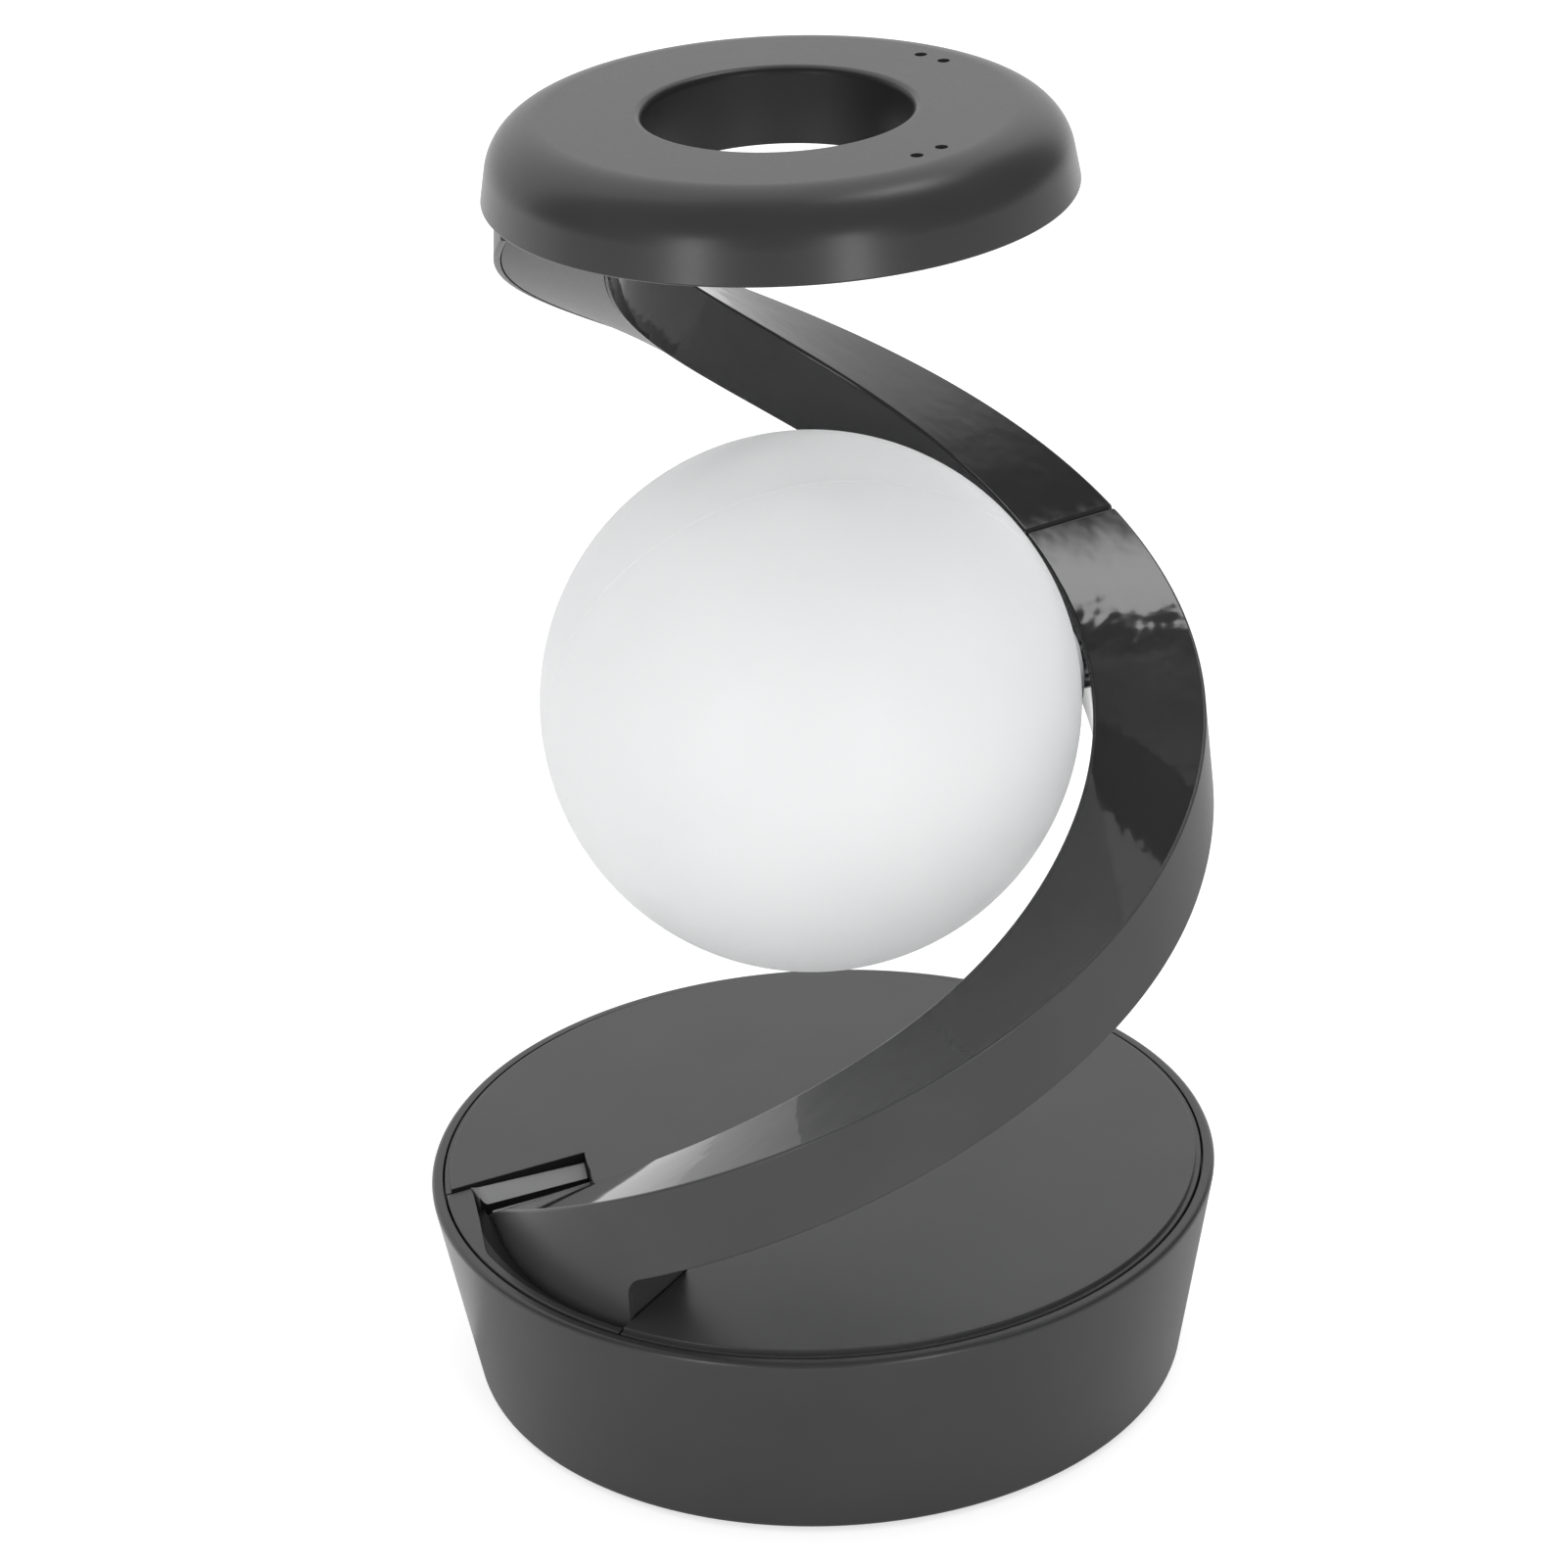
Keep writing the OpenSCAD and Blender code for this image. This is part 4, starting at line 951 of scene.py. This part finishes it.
ramp_start = MOAT_LIP + CRESCENT_W - RAMP_LAP
ramp_crest = PLATE_Z - RAMP_DROP
ramp_slope = math.tan(math.radians(RAMP_TILT))
ramp_outline = rounded([
    (FIT, FLOOR_Z, 0), (RAMP_REACH, FLOOR_Z, 0),
    (RAMP_REACH, ramp_crest - RAMP_FALL, RAMP_FRONT_EDGE), (FIT, ramp_crest, RAMP_CREST_EDGE),
])
ramp_shares = steps(0.0, RAMP_FILLET, RAMP_FILLET / RAMP_FILLET_STEPS)
ramp_shares += steps(RAMP_FILLET, 1.0, 1 / RAMP_STEPS)[1:]
ramp_rings = []
for share in ramp_shares:
    fallen = 1 - (1 - min(1.0, share / RAMP_FILLET)) ** 2
    ramp_ring = []
    for ahead, z in ramp_outline:
        along = ramp_start + (ramp_end(ahead) - ramp_start) * share
        if z > FLOOR_Z:
            ease = 1 - RAMP_EASE * ahead / RAMP_REACH
            sink = ramp_slope * (along - ramp_start) * ease
            z = ramp_crest - (ramp_crest - z + sink) * fallen
        ramp_ring.append((*back_point(along, ahead), z))
    ramp_rings.append(ramp_ring)
# The ramp's face is painted light grey as a painted highlight, and its front wall, its outline's second
# edge, is painted dark as painted shade
ramp_kinds = ([0, 1] + [0] * (len(ramp_outline) - 2)) * (len(ramp_rings) - 1) + [0, 0]
ramp = add_piece("foot_ramp", *loft(ramp_rings), "lamp", "dark_arm", [ramp_painted_highlight, painted_shade_black], ramp_kinds)
even_normals(ramp)


# Globe


to_axle = (
    Matrix.Rotation(math.radians(AXLE_ANGLE), 4, "Z")
    @ Matrix.Translation((GLOBE_SHIFT, 0, AXLE_Z))
    @ Matrix.Rotation(math.radians(90), 4, "Y")
)
to_seam = to_axle @ Matrix.Rotation(math.radians(GLOBE_PHASE), 4, "Z")


def add_globe_half(name, node, side):
    """Half of the globe on one side of the seam; side -1 is the front half."""
    inner = GLOBE_R - GLOBE_WALL
    first = math.degrees(GLOBE_SEAM / GLOBE_R)
    outline = [(inner, 0.0), (GLOBE_R - GLOBE_SEAM, 0.0)]
    outline += arc(0, 0, GLOBE_R, first, 90, GLOBE_STEPS)[:-1]
    outline += [(GLOBE_POLE_R, GLOBE_R), (GLOBE_POLE_R, inner)]
    outline += arc(0, 0, inner, 90, 0, GLOBE_STEPS)[1:-1]
    verts, faces = lathe(outline, GLOBE_LATHE_STEPS)
    pole = Matrix.Rotation(math.radians(-90 * side), 4, "X")
    placed = [to_seam @ pole @ Vector(v) for v in verts]
    piece = add_piece(name, placed, faces, "globe", "opal_white", [opal_white])
    cut(piece, add_cutter(*rod(HUB_R + FIT, *HUB_CUT), to_axle))
    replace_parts(piece, node)


add_globe_half("globe_half_front", "globe_front", -1)
add_globe_half("globe_half_rear", "globe_rear", 1)


# Ring head


lean = math.atan(HEAD_LEAN / HEAD_H)
shoulder_z = HEAD_H - HEAD_ROUND
shoulder_r = HEAD_R - shoulder_z * math.tan(lean) - HEAD_ROUND / math.cos(lean)
ring_outline = arc(HOLE_R + HOLE_LOW_EDGE, HOLE_LOW_EDGE, HOLE_LOW_EDGE, 180, 270, ARC_STEPS)
ring_outline += arc(HEAD_R - HEAD_LOW_EDGE, HEAD_LOW_EDGE, HEAD_LOW_EDGE, 270, 360, ARC_STEPS)
ring_outline += arc(shoulder_r, shoulder_z, HEAD_ROUND, math.degrees(lean), 90, SHOULDER_STEPS)
ring_outline += arc(HOLE_R + HOLE_ROUND, HEAD_H - HOLE_ROUND, HOLE_ROUND, 90, 180, HOLE_STEPS)
ring_outline = [(p.x, p.y + HEAD_Z) for p in ring_outline]

# The hole's wall and its edges are painted darker as painted shade: the outline's first edges and its last
# ones
HOLE_EDGES = 5
outer_edges = len(ring_outline) - ARC_STEPS - HOLE_EDGES
ring_kinds = ([1] * ARC_STEPS + [0] * outer_edges + [1] * HOLE_EDGES) * LATHE_STEPS
ring_looks = [shell_grey, hole_painted_shade]
ring = add_piece("ring_body", *lathe(ring_outline), "lamp", "dark_shell", ring_looks, ring_kinds)
for t in PIN_ANGLES:
    place = Matrix.Translation((*polar(PIN_CIRCLE_R, t), HEAD_Z))
    cut(ring, add_cutter(*rod(PIN_HOLE_R, PIN_HOLE_Z, HEAD_H + 2 * CUT_SPARE, PIN_STEPS), place))
even_normals(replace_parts(ring, "ring_shell"))


# Studio: floor, walls, light and camera

WHITE = (1, 1, 1, 1)
LAMP_MIDDLE = Vector((0, 0, 0.1))

FLOOR_HALF = 4.0
FLOOR_GREY = 0.62
FLOOR_ROUGH = 0.9
FLOOR_GLOW = 0.6
FLOOR_FRONT_SHARE = 0.15
WORLD_LIGHT = 1.0

# The studio is pale behind the lamp, up to a soft edge on its right
PALE_EDGE_DEG = (42, 58)
WALL_R = 3.6
WALL_SPAN_DEG = (2, 89.5)
WALL_GREY = 0.02
WALL_GLOW = 0.05
BACKDROP_R = 3.0
BACKDROP_GLOW = 1.0
BACKDROP_END_DEG = 160
BACKDROP_FADE_DEG = (70, 88)

# Box over the lamp, and its diffuser, whose upper edge falls towards the back between two limits
OVER_RADIANCE = 5.7
OVER_R = 1.6
OVER_AZIMUTHS = (16, 54)
OVER_LOW_DEG = 56
OVER_HIGH_DEG = 73.2
OVER_HIGH_AZIMUTH = 38
OVER_HIGH_FALL = 0.9
OVER_HIGH_LIMITS = (67.0, 80.0)
OVER_LOW_FADE = 10
OVER_BACK_FADE = 9
OVER_STEP = 2
OVER_ROWS = 12

# Tall boxes beside the camera
SIDE_AZIMUTHS = {"softbox_left": -124, "softbox_right": -65}
SIDE_RADIANCE = 8.0


def add_stage(name, verts, faces, material):
    mesh = bpy.data.meshes.new(name)
    mesh.from_pydata(verts, [], faces)
    mesh.materials.append(material)
    piece = bpy.data.objects.new(name, mesh)
    bpy.context.scene.collection.objects.link(piece)
    return piece


def seen_directly(tree, glossy_share):
    """1 for rays from the camera and through clear surfaces, a share for rays from glossy ones, else 0."""
    path = tree.nodes.new("ShaderNodeLightPath")
    glossy = add_math(tree, "MULTIPLY", path.outputs["Is Glossy Ray"], glossy_share)
    first = add_math(tree, "MAXIMUM", path.outputs["Is Camera Ray"], glossy)
    return add_math(tree, "MAXIMUM", first, path.outputs["Is Transmission Ray"])


def azimuth_share(tree, low):
    """Share that runs from low to 1 across the pale backdrop's edge, by the direction from the lamp."""
    place = tree.nodes.new("ShaderNodeTexCoord")
    angle = tree.nodes.new("ShaderNodeTexGradient")
    angle.gradient_type = "RADIAL"
    tree.links.new(place.outputs["Object"], angle.inputs["Vector"])
    span = [azimuth / 360 + 0.5 for azimuth in PALE_EDGE_DEG]
    return add_range(tree, angle.outputs["Fac"], span, low, 1.0, "SMOOTHSTEP")


floor_white, floor_tree, floor_shader = new_material("floor_white")
floor_shader.inputs["Base Color"].default_value = (FLOOR_GREY, FLOOR_GREY, FLOOR_GREY, 1)
floor_shader.inputs["Roughness"].default_value = FLOOR_ROUGH
floor_shader.inputs["Specular IOR Level"].default_value = 0.0
floor_shader.inputs["Emission Color"].default_value = WHITE
floor_seen = seen_directly(floor_tree, azimuth_share(floor_tree, FLOOR_FRONT_SHARE))
floor_glow = add_range(floor_tree, floor_seen, (0.0, 1.0), 0.0, FLOOR_GLOW)
floor_tree.links.new(floor_glow, floor_shader.inputs["Emission Strength"])
floor_corners = [(x * FLOOR_HALF, y * FLOOR_HALF, 0) for x, y in ((-1, -1), (1, -1), (1, 1), (-1, 1))]
add_stage("floor", floor_corners, [(0, 1, 2, 3)], floor_white)

world = bpy.data.worlds.new("studio")
bpy.context.scene.world = world
world.use_nodes = True
background = world.node_tree.nodes["Background"]
background.inputs["Color"].default_value = WHITE
background.inputs["Strength"].default_value = WORLD_LIGHT


def on_sphere(r, azimuth, elevation):
    """Point of a sphere round the lamp, in metres."""
    ring_r, z = polar(r, elevation)
    return (*polar(ring_r, azimuth), z)


def grid_faces(rows, columns):
    """Faces between the points of a grid that are listed row by row."""
    faces = []
    for i in range(rows - 1):
        for j in range(columns - 1):
            a = i * columns + j
            faces.append((a, a + 1, a + columns + 1, a + columns))
    return faces


def dome(r, low_deg, high_deg, from_deg, to_deg):
    """Vertices and faces of a part of a sphere round the lamp, in metres."""
    rows = steps(low_deg, high_deg, DOME_STEP)
    columns = steps(from_deg, to_deg, DOME_STEP)
    verts = [on_sphere(r, azimuth, elevation) for elevation in rows for azimuth in columns]
    return verts, grid_faces(len(rows), len(columns))


def glowing(name):
    """Dark dull material that glows white, with its node tree and the input of its strength."""
    material, tree, shader = new_material(name)
    shader.inputs["Base Color"].default_value = (WALL_GREY, WALL_GREY, WALL_GREY, 1)
    shader.inputs["Specular IOR Level"].default_value = 0.0
    shader.inputs["Emission Color"].default_value = WHITE
    return material, tree, shader.inputs["Emission Strength"]


def only_reflected(piece):
    piece.visible_camera = False
    piece.visible_diffuse = False
    piece.visible_shadow = False
    piece.visible_transmission = False
    piece.visible_volume_scatter = False


# Dark studio walls and ceiling, met only by reflections, with a pale backdrop in front of them that
# reaches up behind the lamp and fades out before the zenith
walls_dark, _, walls_strength = glowing("walls_dark")
walls_strength.default_value = WALL_GLOW
only_reflected(add_stage("studio_walls", *dome(WALL_R, *WALL_SPAN_DEG, 0, 360), walls_dark))

backdrop_pale, backdrop_tree, backdrop_strength = glowing("backdrop_pale")
fade_span = [BACKDROP_R * math.sin(math.radians(elevation)) for elevation in BACKDROP_FADE_DEG]
backdrop_fade = add_range(backdrop_tree, add_height(backdrop_tree), fade_span, BACKDROP_GLOW, WALL_GLOW)
backdrop_share = azimuth_share(backdrop_tree, WALL_GLOW)
backdrop_glow = add_math(backdrop_tree, "MULTIPLY", backdrop_fade, backdrop_share)
backdrop_tree.links.new(backdrop_glow, backdrop_strength)
backdrop_face = dome(BACKDROP_R, 0, BACKDROP_FADE_DEG[1], PALE_EDGE_DEG[0], BACKDROP_END_DEG)
only_reflected(add_stage("studio_backdrop", *backdrop_face, backdrop_pale))


def add_softbox(name, radiance, azimuth, elevation, distance, width, height):
    """Area light that looks at the middle of the lamp, from an azimuth, elevation and distance."""
    away = Vector(on_sphere(1.0, azimuth, elevation))
    light = bpy.data.lights.new(name, "AREA")
    light.shape = "RECTANGLE"
    light.size = width
    light.size_y = height
    light.energy = radiance * math.pi * width * height
    box = bpy.data.objects.new(name, light)
    bpy.context.scene.collection.objects.link(box)
    box.location = LAMP_MIDDLE + away * distance
    box.rotation_mode = "QUATERNION"
    box.rotation_quaternion = (-away).to_track_quat("-Z", "Y")
    box.visible_camera = False
    return box


def over_high(azimuth):
    """Elevation of the diffuser's upper edge."""
    slanted = OVER_HIGH_DEG - OVER_HIGH_FALL * (azimuth - OVER_HIGH_AZIMUTH)
    return min(OVER_HIGH_LIMITS[1], max(OVER_HIGH_LIMITS[0], slanted))


# Reflections show the diffuser in place of the box, with its lower edge and its edge at the back faded
over_box = add_softbox(
    "softbox_over", OVER_RADIANCE, azimuth=40, elevation=66, distance=1.2, width=0.36, height=0.26)
over_box.visible_glossy = False
over_columns = steps(*OVER_AZIMUTHS, OVER_STEP)
over_verts = []
over_glow = []
for i in range(OVER_ROWS + 1):
    for azimuth in over_columns:
        elevation = OVER_LOW_DEG + (over_high(azimuth) - OVER_LOW_DEG) * i / OVER_ROWS
        over_verts.append(on_sphere(OVER_R, azimuth, elevation))
        low_fade = smooth((elevation - OVER_LOW_DEG) / OVER_LOW_FADE)
        back_fade = smooth((OVER_AZIMUTHS[1] - azimuth) / OVER_BACK_FADE)
        over_glow.append(low_fade * back_fade * OVER_RADIANCE)
over_bright, over_tree, over_strength = glowing("over_bright")
over_level = over_tree.nodes.new("ShaderNodeAttribute")
over_level.attribute_name = "glow"
over_tree.links.new(over_level.outputs["Fac"], over_strength)
over_faces = grid_faces(OVER_ROWS + 1, len(over_columns))
over_face = add_stage("softbox_face", over_verts, over_faces, over_bright)
over_face.data.attributes.new("glow", "FLOAT", "POINT").data.foreach_set("value", over_glow)
only_reflected(over_face)

for name, azimuth in SIDE_AZIMUTHS.items():
    add_softbox(name, SIDE_RADIANCE, azimuth, elevation=10, distance=1.0, width=0.12, height=0.6)

camera_data = bpy.data.cameras.new("camera")
camera_data.sensor_width = SENSOR_MM
camera_data.lens = SENSOR_MM * FOCAL_PX / PHOTO_PX
camera_data.clip_start = CLIP_START
camera_data.clip_end = CLIP_END
camera = bpy.data.objects.new("camera", camera_data)
bpy.context.scene.collection.objects.link(camera)
look = Vector((
    math.sin(CAMERA_YAW) * math.cos(CAMERA_PITCH),
    math.cos(CAMERA_YAW) * math.cos(CAMERA_PITCH),
    -math.sin(CAMERA_PITCH),
))
level_right = Vector((math.cos(CAMERA_YAW), -math.sin(CAMERA_YAW), 0))
level_up = level_right.cross(look)
right = math.cos(CAMERA_ROLL) * level_right + math.sin(CAMERA_ROLL) * level_up
up = -math.sin(CAMERA_ROLL) * level_right + math.cos(CAMERA_ROLL) * level_up
camera_turn = Matrix((right, up, -look)).transposed().to_4x4()
camera.matrix_world = Matrix.Translation(CAMERA_PLACE * MM) @ camera_turn
bpy.context.scene.camera = camera

bpy.context.scene.view_settings.view_transform = "Standard"

bpy.context.view_layer.update()
